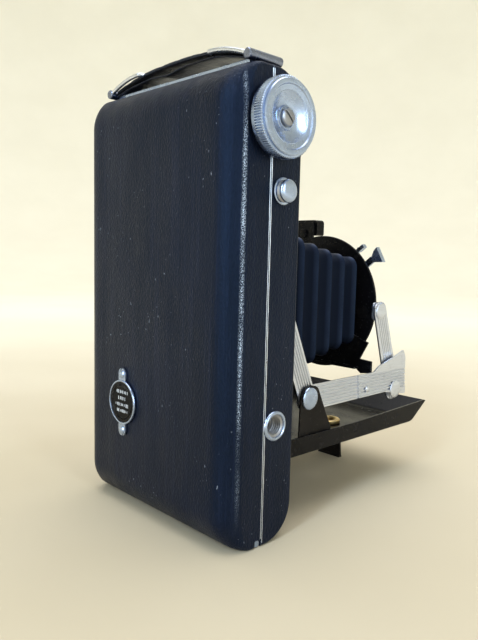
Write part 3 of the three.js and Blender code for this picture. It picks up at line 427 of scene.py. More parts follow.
def glass(name, tint, roughness=0.02):
    f = Finish(name, Transmission_Weight=1.0, IOR=1.52, Coat_Weight=0.6, Coat_Roughness=0.03)
    smear = f.noise(0.4, detail=4, rough=0.6)
    f.bump((smear, 0.02, 0.02))
    return f.surface(f.mix(f.ramp(smear, (0.5, 0.0), (0.8, 0.25)), tint, tuple(c * 0.86 for c in tint)),
                     f.ramp(smear, (0.4, roughness), (0.8, roughness + 0.1)))


def bellows_cloth(name):
    """Thin black pleated leather: glossy blue-black crests, and dull valleys whose colour is darkened with
    painted shade.
    """
    f = Finish(name, Specular_IOR_Level=0.38)
    f.shader.inputs["Specular Tint"].default_value = (0.33, 0.52, 1.0, 1)
    grain = f.noise(2.6, (1, 1, 1.6), 4, 0.6)
    cloud = f.noise(0.15, (1, 1, 2), 4, 0.6)
    fold = f.tree.nodes.new("ShaderNodeAttribute")
    fold.attribute_name = "fold"
    valley = f.ramp(fold.outputs["Fac"], (0.12, 0.0), (0.6, 1.0))
    base = f.mix(f.ramp(grain, (0.35, 0.0), (0.7, 1.0)), (0.0028, 0.0038, 0.009), (0.007, 0.010, 0.024))
    base = f.mix(f.ramp(cloud, (0.45, 0.0), (0.7, 0.6)), base, (0.014, 0.021, 0.048))
    # painted shade: the colour goes almost black deep in the fold valleys, standing in for the shade between
    # the pleats
    base = f.mix(valley, base, (0.0012, 0.0014, 0.003))
    f.bump((cloud, 0.2, 0.3), (grain, 0.4, 0.1))
    shine = f.ramp(cloud, (0.3, 0.26), (0.7, 0.42))
    return f.surface(base, f.mix(valley, shine, (0.85, 0.85, 0.85)))


MATERIALS = {
    "leatherette": leather("grained_leatherette", (0.0010, 0.0014, 0.0034), (0.0036, 0.0050, 0.0125), 2.4,
                           (0.70, 0.82, 1.0), rubbed=(("y", 9.6, 0.95, "z", (95, 88)),)),
    "strap": leather("strap_leather", (0.006, 0.006, 0.008), (0.013, 0.013, 0.017), 1.6,
                     (0.16, 0.15, 0.15), (0.26, 0.48)),
    "inner_black": enamel("inner_black_paint", (0.010, 0.010, 0.011), (0.020, 0.020, 0.021), (0.62, 0.8),
                          0.0),
    "enamel": enamel("black_enamel", (0.003, 0.003, 0.004), (0.008, 0.008, 0.009), (0.16, 0.32), 0.0),
    "dull_enamel": enamel("rubbed_enamel", (0.006, 0.005, 0.005), (0.016, 0.014, 0.013), (0.34, 0.5), 0.0),
    "nickel": polished("bright_nickel", (0.40, 0.49, 0.68), (0.24, 0.30, 0.43), (0.20, 0.34), 0.08),
    "trim": polished("seam_metal", (0.80, 0.85, 0.93), (0.34, 0.36, 0.42), (0.25, 0.5), 0.2),
    "dark_nickel": polished("dark_nickel", (0.22, 0.25, 0.34), (0.11, 0.12, 0.16), (0.2, 0.4)),
    "wire": polished("clip_wire", (0.66, 0.70, 0.78), (0.42, 0.45, 0.50), (0.2, 0.36), 0.1),
    "disc_black": enamel("disc_black", (0.0025, 0.0025, 0.003), (0.005, 0.005, 0.006), (0.4, 0.55), 0.0),
    "mark_white": enamel("mark_white", (0.62, 0.64, 0.68), (0.50, 0.52, 0.56), (0.5, 0.65), 0.0),
    "satin": brushed("satin_strip", (0.64, 0.68, 0.77), (0.45, 0.47, 0.53), (0.28, 0.44)),
    "steel": polished("plain_steel", (0.34, 0.35, 0.38), (0.18, 0.18, 0.19), (0.3, 0.55), 0.2),
    "brass": polished("aged_brass", (0.62, 0.47, 0.22), (0.30, 0.21, 0.10), (0.25, 0.5), 0.15),
    "bellows": bellows_cloth("bellows_leather"),
    "glass": glass("lens_glass", (0.93, 0.96, 1.0)),
    "red_glass": glass("red_window", (0.62, 0.03, 0.02), 0.08),
}
SLOT_OF = {
    "leatherette": "leatherette", "strap": "strap_leather", "inner_black": "inner_black",
    "enamel": "black_enamel", "dull_enamel": "black_enamel", "nickel": "bright_nickel",
    "trim": "bright_nickel", "dark_nickel": "dark_nickel", "satin": "satin_metal", "steel": "steel",
    "wire": "dark_nickel", "disc_black": "black_enamel", "mark_white": "bright_nickel",
    "brass": "brass", "bellows": "bellows_leather", "glass": "clear_glass", "red_glass": "red_glass",
}
FINISH_OF = {slot: finish for finish, slot in reversed(SLOT_OF.items())}
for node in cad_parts.values():
    for holder in node.material_slots:
        holder.material = MATERIALS[FINISH_OF[holder.material.name.split(".")[0]]]


# ---------------------------------------------------------------- camera
def add_camera():
    data = bpy.data.cameras.new("view")
    data.sensor_width = 36
    data.lens = 35.33
    data.clip_start = 0.01
    camera = bpy.data.objects.new("view", data)
    yaw, pitch, roll = (math.radians(a) for a in (46.58, 6.245, 1.35))
    look = Vector((math.sin(yaw) * math.cos(pitch), -math.cos(yaw) * math.cos(pitch), -math.sin(pitch)))
    right = look.cross(Vector((0, 0, 1))).normalized()
    up = right.cross(look)
    side = right * math.cos(roll) + up * math.sin(roll)
    top = up * math.cos(roll) - right * math.sin(roll)
    turn = Matrix((side, top, -look)).transposed().to_4x4()
    camera.matrix_world = Matrix.Translation((-0.17486, 0.13794, 0.09453)) @ turn
    bpy.context.scene.collection.objects.link(camera)
    bpy.context.scene.camera = camera


add_camera()


# ---------------------------------------------------------------- body shells
def shell_surface(points, edge_radius, columns=14, arc=8):
    """Sweeps a side profile of (y, z, ny, nz) points across the body, its long edges rounded."""
    rows = []
    for y, z, ny, nz in points:
        r = edge_radius(ny)
        row = []
        for k in range(arc + 1):
            a = math.pi / 2 * (1 - k / arc)
            row.append((-(HALF_W - r + r * math.sin(a)), r - r * math.cos(a)))
        flat = HALF_W - r
        row += [(-flat + 2 * flat * k / columns, 0.0) for k in range(1, columns)]
        row += [(-x, inset) for x, inset in reversed(row[:arc + 1])]
        rows.append([(x, y - ny * inset, z - nz * inset) for x, inset in row])
    width = len(rows[0])
    shape = [p for row in rows for p in row]
    faces = []
    for i in range(len(rows) - 1):
        for k in range(width - 1):
            faces.append((i * width + k, i * width + k + 1, (i + 1) * width + k + 1, (i + 1) * width + k))
    count = len(rows)
    faces.append(tuple(i * width for i in range(count)))
    faces.append(tuple(i * width + width - 1 for i in reversed(range(count))))
    return shape, faces


def half_profile(edge_y, side):
    """The body's outline seen from the side, from the seam round one half and back to the seam."""
    out = []
    bend = side * (HALF_D - END_R)
    for step in range(4):
        out.append((edge_y + (bend - edge_y) * step / 4, 0.0, 0.0, -1.0))
    for step in range(17):
        a = math.pi / 2 * step / 16
        out.append((bend + side * END_R * math.sin(a), END_R - END_R * math.cos(a),
                    side * math.sin(a), -math.cos(a)))
    for step in range(1, 24):
        out.append((side * HALF_D, END_R + (HEIGHT - 2 * END_R) * step / 24, side, 0.0))
    return out + [(y, HEIGHT - z, ny, -nz) for y, z, ny, nz in reversed(out[:21])]


def back_edge_radius(ny):
    """The back shell's long edges are well rounded and tighten to a small radius at its ends."""
    t = max(0.0, min(1.0, ny))
    return 1.1 + 6.4 * t * t * (3 - 2 * t)


def build_shells():
    notch = rod("x", 5.6, -HALF_W - 2, -HALF_W + 3, SPOOL)
    front = solidified(to_object("front_shell", shell_surface(
        half_profile(SEAM["front"], -1), lambda ny: 1.1)), 1.1)
    carve(front, box(-36.3, 36.3, -17, -10, 21.8, 124.9), notch,
          rod("x", 2.6, -HALF_W - 2, -HALF_W + 3, BUTTON), rod("x", 4.3, -HALF_W - 2, -HALF_W + 3, SOCKET))
    carve(front, box(-7, 7, -2.8, 0.8, 0, 1), how="UNION")
    dress(front, "camera_body", "leatherette", ["front_body"])
    back = solidified(to_object("back_shell", shell_surface(
        half_profile(SEAM["back"], 1), back_edge_radius)), 1.0)
    carve(back, notch, box(-HALF_W - 1, HALF_W + 1, -3, 1.6, -1, 2.6),
          rod("y", 5.9, 10, 18, (WINDOW[1], WINDOW[0])))
    dress(back, "back", "leatherette", ["back_cover"])


def build_seam_trim():
    """The bare metal edges of the two shells, showing as a bright line down each side."""
    for name, body, y0, y1, z0 in (("front_edge_trim", "camera_body", -1.72, -1.36, 1.4),
                                   ("back_edge_trim", "back", -1.04, -0.72, 2.9)):
        strips = []
        for side in (-1, 1):
            gaps = [(z0, HEIGHT - 1.2)]
            if side < 0:
                gaps = [(z0, SPOOL[1] - 6.2), (SPOOL[1] + 6.2, HEIGHT - 1.2)]
            for low, high in gaps:
                steps = int((high - low) / 2.5)
                loops = []
                for k in range(steps + 1):
                    z = low + (high - low) * k / steps
                    wander = 0.05 * math.sin(z * 0.9 + y0) + 0.03 * math.sin(z * 2.3)
                    inner, outer = side * (HALF_W - 0.25), side * (HALF_W + 0.1)
                    far = y1 + wander if y1 > -1.2 else y1
                    near = y0 + wander if y0 < -1.2 else y0
                    loops.append([(inner, near, z), (outer, near + 0.08, z), (outer, far - 0.08, z),
                                  (inner, far, z)])
                strips.append(loft(loops))
        make(name, merged(*strips), body, "trim", bevel=0.05)


build_shells()
build_seam_trim()


# ---------------------------------------------------------------- handle
def strap_height(x):
    """The height of the strap's middle: flat along its crest and steep at its ends."""
    t = min(1.0, abs(x) / STRAP_END)
    return STRAP_BASE + (STRAP_CREST - 0.012 * (x + 4) - STRAP_BASE) * (1 - t ** 2.6)


def build_strap():
    """The carrying strap: a crowned band over a slack lining, both with soft creases."""
    random.seed(5)
    for name, thick, wide, drop, slack, nodes in (("carrying_strap", 0.84, 5.0, 0.0, 0.0, ["strap"]),
                                                  ("strap_lining", 0.4, 4.7, 1.25, 1.5, [])):
        creases = [(random.uniform(-30, 30), random.uniform(0.6, 1.4), random.uniform(0.05, 0.16))
                   for _ in range(16)]
        loops = []
        for i in range(97):
            x = -35 + 70 * i / 96
            z = strap_height(x) - drop - slack * math.exp(-((x - 5) / 17) ** 2) * (1 + 0.2 * math.sin(x / 3))
            dip = sum(d * math.exp(-((x - c) / w) ** 2) for c, w, d in creases)
            loop = []
            for k in range(28):
                c, s = math.cos(2 * math.pi * k / 28), math.sin(2 * math.pi * k / 28)
                y = wide * math.copysign(abs(c) ** 0.45, c)
                h = thick * math.copysign(abs(s) ** 0.6, s)
                seam = 0.14 * math.exp(-((abs(y) - wide + 1.1) / 0.28) ** 2)
                loop.append((x, y, z + h - (dip + seam if s > 0 else -0.5 * dip)))
            loops.append(loop)
        make(name, loft(loops), "camera_body", "strap", nodes, angle=60)


def build_handle():
    outline = rounded([[-3.9, 150.3], [3.9, 150.3], [3.9, 151.65, 0.35], [2.7, 151.65, 0.35],
                       [2.7, 151.15, 0.2],
                       [-2.7, 151.15, 0.2], [-2.7, 151.65, 0.35], [-3.9, 151.65, 0.35]])
    rail = merged(prism("x", outline, -35.2, 35.2), *[
        turned("z", [(0, 151.1), (1.25, 151.1), (1.2, 151.35), (0.8, 151.55), (0, 151.6)], (x, 0), 24)
        for x in (-31.5, -17, 17, 31.5)])
    make("handle_rail_plate", rail, "camera_body", "nickel", ["handle_rail"])
    make("handle_rail_channel", box(-35, 35, -2.6, 2.6, 151.1, 151.24), "camera_body", "disc_black")
    for name, side in (("left", 1), ("right", -1)):
        barrel = turned("y", [(0, -7.1), (1.35, -7.1), (1.6, -6.85), (1.6, 6.85), (1.35, 7.1), (0, 7.1)],
                        (CLIP_Z, side * CLIP_X), 32)
        path = [(side * CLIP_X, -6.2, CLIP_Z)]
        for k in range(1, 9):
            t = k / 8
            rise = 4.1 * math.sin(t * math.pi / 2) ** 0.9
            path.append((side * (CLIP_X - 17.9 * t), -6.2, CLIP_Z + rise))
        bend = [(side * (19.3 - 1.1 * math.sin(math.pi * k / 8)), -6.2 * math.cos(math.pi * k / 8), 156.1)
                for k in range(1, 8)]
        wire = path + bend + [(x, -y, z) for x, y, z in reversed(path)]
        make(f"strap_clip_barrel_{name}", barrel, "camera_body", "dark_nickel", [f"strap_clip_{name}"])
        make(f"strap_clip_loop_{name}", loop_wire(wire, CLIP_WIRE), "camera_body", "wire")


def loop_wire(path, radius, n=14):
    """A bent round wire that keeps its section through its corners."""
    pts = [Vector(p) for p in path]
    loops = []
    reference = Vector((0, 0, 1))
    for i, p in enumerate(pts):
        d = (pts[min(i + 1, len(pts) - 1)] - pts[max(i - 1, 0)]).normalized()
        side = d.cross(reference).normalized()
        top = side.cross(d)
        loops.append([p + side * radius * math.cos(2 * math.pi * k / n)
                      + top * radius * math.sin(2 * math.pi * k / n) for k in range(n)])
    return loft(loops)


build_strap()
build_handle()


# ---------------------------------------------------------------- winding side
def build_knob():
    rows = [(0, -41.6), (11.2, -41.6), (11.4, -41.8), (11.4, -43.0), (11.0, -43.15), (11.75, -43.3)]
    first = len(rows)
    rows += [(12.0, -43.5), (12.0, -44.2), (12.0, -45.2), (12.0, -46.1)]
    band = range(first, len(rows))
    rows += [(11.6, -46.35), (11.05, -46.45), (11.1, -46.6), (11.1, -47.1), (10.85, -47.36), (10.5, -47.4),
             (9.7, -47.4), (9.45, -47.3), (9.2, -46.95), (8.6, -46.75), (7.9, -46.62), (7.7, -46.5),
             (7.5, -46.55),
             (6.9, -46.15), (5.9, -45.6), (5.0, -45.15), (4.2, -44.85), (3.7, -44.75), (3.5, -44.95),
             (3.35, -45.35), (3.1, -45.4), (2.95, -45.3), (2.9, -44.9), (0, -44.9)]
    make("wind_knob_body", turned("x", rows, SPOOL, 288, teeth=96, bite=0.38, band=band), "wind_knob",
         "nickel",
         ["wind_knob"], angle=26)
    head = [(0, -44.8), (2.6, -44.8), (2.6, -45.9), (2.4, -46.25), (1.7, -46.5), (0.8, -46.6), (0, -46.62)]
    slot = []
    for x in (-47.5, -46.05):
        for along, across in ((-4, -0.36), (4, -0.36), (4, 0.36), (-4, 0.36)):
            c = math.sqrt(0.5)
            slot.append((x, SPOOL[0] + (along - across) * c, SPOOL[1] + (along + across) * c))
    cutter = loft([slot[:4], slot[4:]])
    make("wind_knob_screw_head", turned("x", head, SPOOL, 64), "wind_knob", "steel", ["wind_knob_screw"],
         bevel=0.06, cuts=[cutter])


def build_button():
    dome = [(0, -41.35), (2.1, -41.35), (2.2, -42.2), (3.3, -42.35), (3.55, -42.6), (3.6, -43.0),
            (3.45, -43.4),
            (3.0, -43.75), (2.2, -44.02), (1.2, -44.17), (0, -44.2)]
    make("release_button_head", turned("x", dome, BUTTON, 56), "release_button", "nickel", ["release_button"])
    collar = [(2.3, -40.75), (4.2, -40.75), (4.2, -41.0), (3.9, -41.25), (3.2, -41.32), (2.6, -41.3),
              (2.3, -41.2), (2.3, -40.75)]
    make("release_button_collar", turned("x", collar, BUTTON, 56), "camera_body", "nickel", ["button_collar"])


def build_socket():
    rows = [(4.2, -36.6), (4.2, -40.55), (4.85, -40.55), (4.9, -40.8), (4.75, -41.15), (4.45, -41.36),
            (4.1, -41.4),
            (3.8, -41.2), (3.7, -40.9), (3.7, -36.6), (4.2, -36.6)]
    make("tripod_socket_bush", turned("x", rows, SOCKET, 56), "camera_body", "nickel", ["tripod_socket"])
    thread = [(3.72, -40.8)]
    x = -40.75
    while x < -37.4:
        thread += [(3.5, x), (2.95, x + 0.3), (2.95, x + 0.42), (3.5, x + 0.72)]
        x += 0.84
    thread += [(2.9, -37.1), (0, -37.1), (0, -36.65), (3.72, -36.65)]
    make("tripod_socket_thread", turned("x", thread + thread[:1], SOCKET, 56), "camera_body", "steel")


def build_latch():
    outline = rounded([[-9.4, 129.1, 1.2], [-3.3, 129.1, 1.2], [-3.3, 137.9, 1.2], [-9.4, 137.9, 1.2]])
    ridges = []
    for z in (131.2, 133.0, 134.8):
        bar = rounded([[z - 0.5, 41.4], [z + 0.5, 41.4], [z + 0.5, 42.35, 0.45], [z - 0.5, 42.35, 0.45]])
        ridges.append(prism("y", bar, -8.5, -4.2))
    make("back_latch_slide", merged(prism("x", outline, 40.8, 41.55), *ridges), "back_latch", "nickel",
         ["back_latch"], bevel=0.12)


def build_window():
    x, z = WINDOW
    ring = [(7.35, 15.3), (8.05, 15.3), (8.1, 15.7), (7.95, 16.1), (7.7, 16.2), (7.45, 16.1), (7.35, 15.3)]
    pieces = [turned("y", ring, (z, x), 72)]
    face = [(6.3, 15.3), (7.4, 15.3), (7.4, 15.85), (6.35, 15.85), (6.3, 15.3)]
    make("window_bezel_face", turned("y", face, (z, x), 72), "back", "enamel")
    for side in (-1, 1):
        ear = rounded([[z + side * 7.3, x - 2.1], [z + side * 7.3, x + 2.1], [z + side * 12.4, x + 2.25, 2.2],
                       [z + side * 12.4, x - 2.25, 2.2]])
        pieces.append(prism("y", ear, 15.25, 15.85))
        pieces.append(turned("y", [(0, 15.6), (1.55, 15.6), (1.5, 15.95), (1.1, 16.35), (0.5, 16.55),
                                   (0, 16.6)],
                             (z + side * 10.2, x), 32))
    make("window_bezel", merged(*pieces), "back", "nickel", ["window_ring"], bevel=0.05)
    disc = [(0, 15.3), (6.15, 15.3), (6.15, 15.75), (6.0, 15.92), (5.75, 15.92), (5.6, 15.8), (0, 15.8)]
    make("window_cover_disc", turned("y", disc, (z, x), 72), "window_cover", "disc_black", ["window_cover"])
    random.seed(11)
    marks = []
    for height, reach in ((3.7, 3.6), (1.35, 2.0), (-1.0, 3.9), (-3.2, 3.4)):
        at = -reach
        while at < reach:
            tall = random.choice((0.42, 0.55, 0.62))
            marks.append(box(x + at, x + at + random.uniform(0.16, 0.3), 15.7, 15.9,
                             z + height - tall, z + height + tall))
            at += random.choice((0.5, 0.62, 0.62, 1.1))
    make("window_cover_dashes", merged(*marks), "window_cover", "mark_white")


build_knob()
build_button()
build_socket()
build_latch()
build_window()


# ---------------------------------------------------------------- bed and foot
def build_bed():
    half, floor, rim = BED["half"], BED["floor"], BED["rim"]
    side = rounded([[-13.6, floor], [-12.4, floor + 0.9], [-12.4, 27, 1.5], [-15.2, rim, 1.5], [-60, rim],
                    [-108.8, 31.4], [-110, 31], [-99, floor, 6]])
    hollow = rounded([[-9, floor + 1], [-9, 40], [-111, 40], [-111, 32.65], [-99.05, floor + 1, 5]])
    bed = to_object("bed_tray", prism("x", side, -half, half))
    carve(bed, prism("x", hollow, 0.75 - half, half - 0.75), rod("z", 4.3, 20, 28, BUSH),
          rod("x", 0.66, -40, 40, (-14, 25.5), 20))
    dress(bed, "bed", "enamel", ["bed_plate"], bevel=0.22)
    seat = [(3.0, 23.5), (3.9, 23.5), (3.95, 24.75), (4.8, 24.8), (4.9, 25.1), (4.75, 25.9), (4.3, 26.28),
            (3.5, 26.3), (3.15, 26.1)]
    z = 25.9
    while z > 23.9:
        seat += [(3.0, z), (2.7, z - 0.2), (2.7, z - 0.3), (3.0, z - 0.5)]
        z -= 0.55
    make("bed_bush_body", turned("z", seat + [(3.0, 23.5)], BUSH, 56), "bed", "brass", ["bed_bush"])
    for name, side in (("left", 1), ("right", -1)):
        near, far = side * LAYER["ear"][0], side * LAYER["ear"][1]
        y, zz = RIVET
        outline = rounded([[y + 5, 24.8], [y + 4.3, zz + 4.3, 4.2], [y - 4.3, zz + 4.3, 3.6],
                           [y - 8.9, zz - 5, 4],
                           [y - 12.5, zz - 12], [y - 14.5, 24.8]])
        foot = box(*sorted((near - side * 5, far)), y - 14.5, y + 5, 24.8, 25.45)
        ear = to_object(f"bed_ear_cheek_{name}", prism("x", outline, near, far))
        carve(ear, foot, how="UNION")
        dress(ear, "bed", "dull_enamel", [f"bed_ear_{name}"], bevel=0.15)
        head = [(0, 30.0), (2.4, 30.05), (2.4, 30.85), (1.6, 30.9), (1.6, 33.25), (4.0, 33.3), (4.05, 33.5),
                (3.9, 33.85), (3.5, 34.1), (2.6, 34.22), (1.2, 34.25), (0, 34.25)]
        make(f"bed_rivet_head_{name}", turned("x", [(r, side * x) for r, x in head], RIVET, 64), "bed",
             "nickel",
             [f"bed_rivet_{name}"])
    foot = rounded([[-92.9, 21.6], [-91.9, 21.6], [-93.2, 1.0, 0.5], [-92.4, 0.35, 0.3], [-92.4, 0.0],
                    [-94.6, 0.0], [-94.2, 0.8, 0.3]])
    stand = to_object("foot_leg", prism("x", foot, -1.25, 11.25))
    plan = rounded([[22.5, -0.65], [22.5, 10.65], [-1, 11.25], [-1, -1.25]])
    carve(stand, prism("y", plan, -98, -88), how="INTERSECT")
    carve(stand, rod("x", 0.95, -1.15, 11.15, (-92.4, 21.6)), how="UNION")
    dress(stand, "foot", "dull_enamel", ["foot"], bevel=0.12)


build_bed()


# ---------------------------------------------------------------- side linkage
def ridged(outline, near, far, centre, lean, lines, pitch, name, depth=0.42):
    """A strip whose outer face has fine grooves along it, cut to an outline in the (y, z) plane."""
    span = lines * pitch
    section = [(-40, near), (40, near), (40, far)]
    for k in range(lines, 0, -1):
        middle = -span / 2 + (k - 0.5) * pitch
        sign = -1 if far > near else 1
        for off, sink in ((0.36, 0), (0.2, 0.8), (0.0, 1.0), (-0.2, 0.8), (-0.36, 0)):
            section.append((middle + off * pitch, far + sign * sink * depth))
    section.append((-40, far))
    c, s = math.cos(lean), math.sin(lean)
    loops = []
    for along in (-80, 80):
        loops.append([(x, centre[0] + along * c - t * s, centre[1] + along * s + t * c) for t, x in section])
    strip = to_object(name, loft(loops))
    low, high = sorted((near, far))
    carve(strip, prism("x", outline, low - 1, high + 1), how="INTERSECT")
    return strip


def capsule(low, high, r0, r1, steps=16):
    """The outline of a strip with round ends, from one pivot to another."""
    lean = math.atan2(high[1] - low[1], high[0] - low[0])
    out = []
    for (y, z), r, start in ((low, r0, lean + math.pi / 2), (high, r1, lean - math.pi / 2)):
        out += [(y + r * math.cos(start + math.pi * k / steps), z + r * math.sin(start + math.pi * k / steps))
                for k in range(steps + 1)]
    return out, lean


def build_linkage():
    arm = rounded([[RIVET[0] + 4.4, 38.5, 4.3], [RIVET[0] + 4.4, 47.3, 4.3], [-73.2, 47.3, 3], [-77, 49.6, 5],
                   [-88, 52.4], [-94.4, 54.6, 0.8], [-96, 51.5, 1], [-97.1, 35.4, 1], [-81.4, 38.2],
                   [-40, 37.9, 5]])
    top = (RIVET[0] + 45 * math.cos(math.radians(66.2)), RIVET[1] + 45 * math.sin(math.radians(66.2)))
    strut, strut_lean = capsule(ELBOW, PIVOT, 4.5, 4.0)
    brace, brace_lean = capsule(RIVET, top, 4.2, 4.2)
    for name, side in (("left", 1), ("right", -1)):
        near, far = (side * v for v in LAYER["arm"])
        thing = ridged(arm, near, far, (-60, 42.7), 0.0, 7, 1.22, f"side_arm_strip_{name}")
        crease = [(-64.0, 36), (-63.0, 36), (-61.6, 49), (-62.6, 49)]
        carve(thing, prism("x", crease, *sorted((far - side * 0.5, far + side))))
        dress(thing, "side_arms", "satin", [f"side_arm_{name}"], bevel=0.06, angle=24)
        make(f"side_arm_rivets_{name}", merged(
            turned("x", [(0, far - side * 0.1), (1.3, far - side * 0.1), (1.3, far + side * 0.15),
                         (0.9, far + side * 0.45), (0, far + side * 0.55)], (-69.2, 41), 32),
            turned("x", [(0, side * (LAYER["strut"][0] - 0.1)), (1.4, side * (LAYER["strut"][0] - 0.1)),
                         (1.4, far - side * 0.1), (3.65, far - side * 0.05), (3.6, far + side * 0.25),
                         (3.1, far + side * 0.5), (2.2, far + side * 0.66), (0, far + side * 0.7)], ELBOW,
                         56)),
             "side_arms", "satin")
        near, far = (side * v for v in LAYER["strut"])
        dress(ridged(strut, near, far, ELBOW, strut_lean, 5, 1.2, f"front_strut_strip_{name}"),
              "front_struts", "satin",
              [f"front_strut_{name}"], bevel=0.06, angle=24)
        near, far = (side * v for v in LAYER["brace"])
        thing = ridged(brace, near, far, RIVET, brace_lean, 6, 1.15, f"rear_brace_strip_{name}")
        carve(thing, rod("x", 1.5, *sorted((near - side, far + side)), top))
        dress(thing, "rear_braces", "satin", [f"rear_brace_{name}"], bevel=0.06, angle=24)


build_linkage()


# ---------------------------------------------------------------- lens standard
def build_standard():
    disc = [(13.0, -77.6), (27.2, -77.6), (27.6, -77.75), (28.1, -77.7), (28.3, -77.4), (28.3, -76.8),
            (28.1, -76.6), (13.0, -76.6), (13.0, -77.6)]
    plate = to_object("standard_disc", turned("y", disc, (LENS_Z, 0), 128))
    carve(plate, prism("y", rounded([[91.7, 6], [91.7, 15], [108, 15, 1], [108, 6, 1]]), -77.55, -76.65),
          how="UNION")
    dress(plate, "standard", "enamel", ["standard_plate"], bevel=0.08)
    for name, side in (("left", 1), ("right", -1)):
        y, z = PIVOT
        lug = rounded([[y - 3.6, z - 3.7, 1.5], [y - 3.6, z + 3.7, 1.5], [y + 3.7, z + 3.7, 1.5],
                       [y + 3.7, z - 3.7, 1.5]])
        flange = box(*sorted((side * 25.3, side * 29.1)), -77.7, -76.7, z - 3.7, z + 3.7)
        pivot = turned("x", [(0, side * 29.0), (1.3, side * 29.0), (1.3, side * 30.1), (3.2, side * 30.13),
                             (3.15, side * 30.35), (2.7, side * 30.55), (1.6, side * 30.64),
                             (0, side * 30.65)],
                       PIVOT, 56)
        make(f"standard_lug_{name}", merged(prism("x", lug, *sorted((side * 28.4, side * 29.1))), flange,
                                            pivot),
             "standard", "satin", bevel=0.06)
    half = [[47.4, 0], [47.4, 20.5], [45.4, 23.2], [46.2, 28.4], [51, 28.4], [51.4, 22.5], [58.5, 26.4]]
    outline = half + [[61.5, 18], [61.5, -18]] + [[z, -x] for z, x in reversed(half[1:])]
    make("standard_foot_bar", merged(prism("y", outline, -76.3, -75.4),
                                     box(-22.5, 22.5, -76.3, -72.3, 47.4, 48.2)),
         "standard", "enamel", ["standard_yoke"], bevel=0.1)
    groove = (-81.2, -79.9)
    shutter = [(11, -76.7), (11, -83.5), (21.9, -83.5), (22.9, -83.3), (24.1, -82.9), (24.8, -82.3),
               (25, -81.9),
               (25, groove[0]), (22.2, groove[0]), (22.2, groove[1]), (25, groove[1]), (25, -78.1),
               (24.8, -77.9), (12.7, -77.9), (12.7, -76.7), (11, -76.7)]
    make("shutter_case", turned("y", shutter, (LENS_Z, 0), 112), "standard", "enamel", ["shutter_housing"])
    rear = [(0, -75.9), (8.6, -75.9), (8.6, -72.6), (8.4, -72.5), (7.6, -72.6), (7.5, -73.3), (5, -73.1),
            (0, -72.9)]
    make("rear_lens_element", turned("y", rear, (LENS_Z, 0), 72), "standard", "glass", ["rear_lens"])


def tick_marks(radius, count, long, y, tall, skip=1.0, width=0.16):
    """Plain engraved lines round a ring, the fifth ones longer."""
    marks = []
    for k in range(int(count * skip)):
        a = 2 * math.pi * k / count
        reach = long * (1.6 if k % 5 == 0 else 1.0)
        c, s = math.cos(a), math.sin(a)
        loop = []
        for r, t in ((radius - reach, -width), (radius, -width), (radius, width), (radius - reach, width)):
            loop.append((r * s + t * c, r * c - t * s))
        marks.append(loft([[(x, w, LENS_Z + z) for x, z in loop] for w in (y, y - tall)]))
    return merged(*marks)


def build_rings():
    ring = [(14.2, -83.8), (14.2, -85.2), (14.4, -85.4), (20.5, -85.4), (21, -85.2)]
    band = (5, 6)
    ring += [(21.4, -85.0), (21.4, -84.1), (21, -83.85), (20.6, -83.8), (14.2, -83.8)]
    make("speed_ring_body", turned("y", ring, (LENS_Z, 0), 216, teeth=72, bite=0.35, band=band), "speed_ring",
         "nickel", ["speed_ring"], angle=26)
    make("speed_ring_ticks", tick_marks(19.8, 40, 1.3, -85.36, 0.07, 0.55), "speed_ring", "dull_enamel")
    focus = [(8.9, -83.8), (8.9, -88.6), (9.3, -89.2), (9.9, -89.4), (12.1, -89.7), (12.6, -89.5)]
    band = (6, 7, 8)
    focus += [(12.8, -89.2), (13.0, -87.8), (13.2, -86.3), (13.5, -86.0), (13.6, -85.8), (13.6, -84.4),
              (13.0, -83.8),
              (8.9, -83.8)]
    make("focus_ring_body", turned("y", focus, (LENS_Z, 0), 240, teeth=80, bite=0.3, band=band), "focus_ring",
         "nickel", ["focus_ring"], angle=26)
    make("focus_ring_ticks", tick_marks(11.9, 48, 0.9, -89.55, 0.12, 0.7, 0.12), "focus_ring", "dull_enamel")
    front = [(0, -84.7), (8.6, -84.7), (8.6, -87.0), (8.1, -87.35), (6.8, -87.8), (5, -88.2), (2.5, -88.45),
             (0, -88.5)]
    make("front_lens_element", turned("y", front, (LENS_Z, 0), 80), "focus_ring", "glass", ["front_lens"])


def lever_bar(angle, r0, r1, width):
    s, c = math.sin(angle), math.cos(angle)
    out = []
    for r, w in ((r0, -width), (r0, width), (r1, width), (r1, -width)):
        out.append((LENS_Z + s * r + c * w, c * r - s * w))
    return prism("y", out, -81.0, -80.1)


def build_levers():
    for name, angle, reach, width, tab in (
            ("release_lever", 141, 30, 1.4, [[91.3, -22], [96, -23.7], [97.6, -25.1], [91.5, -28.4]]),
            ("aperture_lever", 125.5, 28.5, 0.9, [[95.3, -16.2], [96.6, -15.3], [98.7, -18], [97.4, -19]])):
        bar = to_object(f"{name}_bar", lever_bar(math.radians(angle), 22.5, reach, width))
        carve(bar, prism("y", tab, -82.4, -80.1), how="UNION")
        dress(bar, name, "nickel", [name], bevel=0.15)


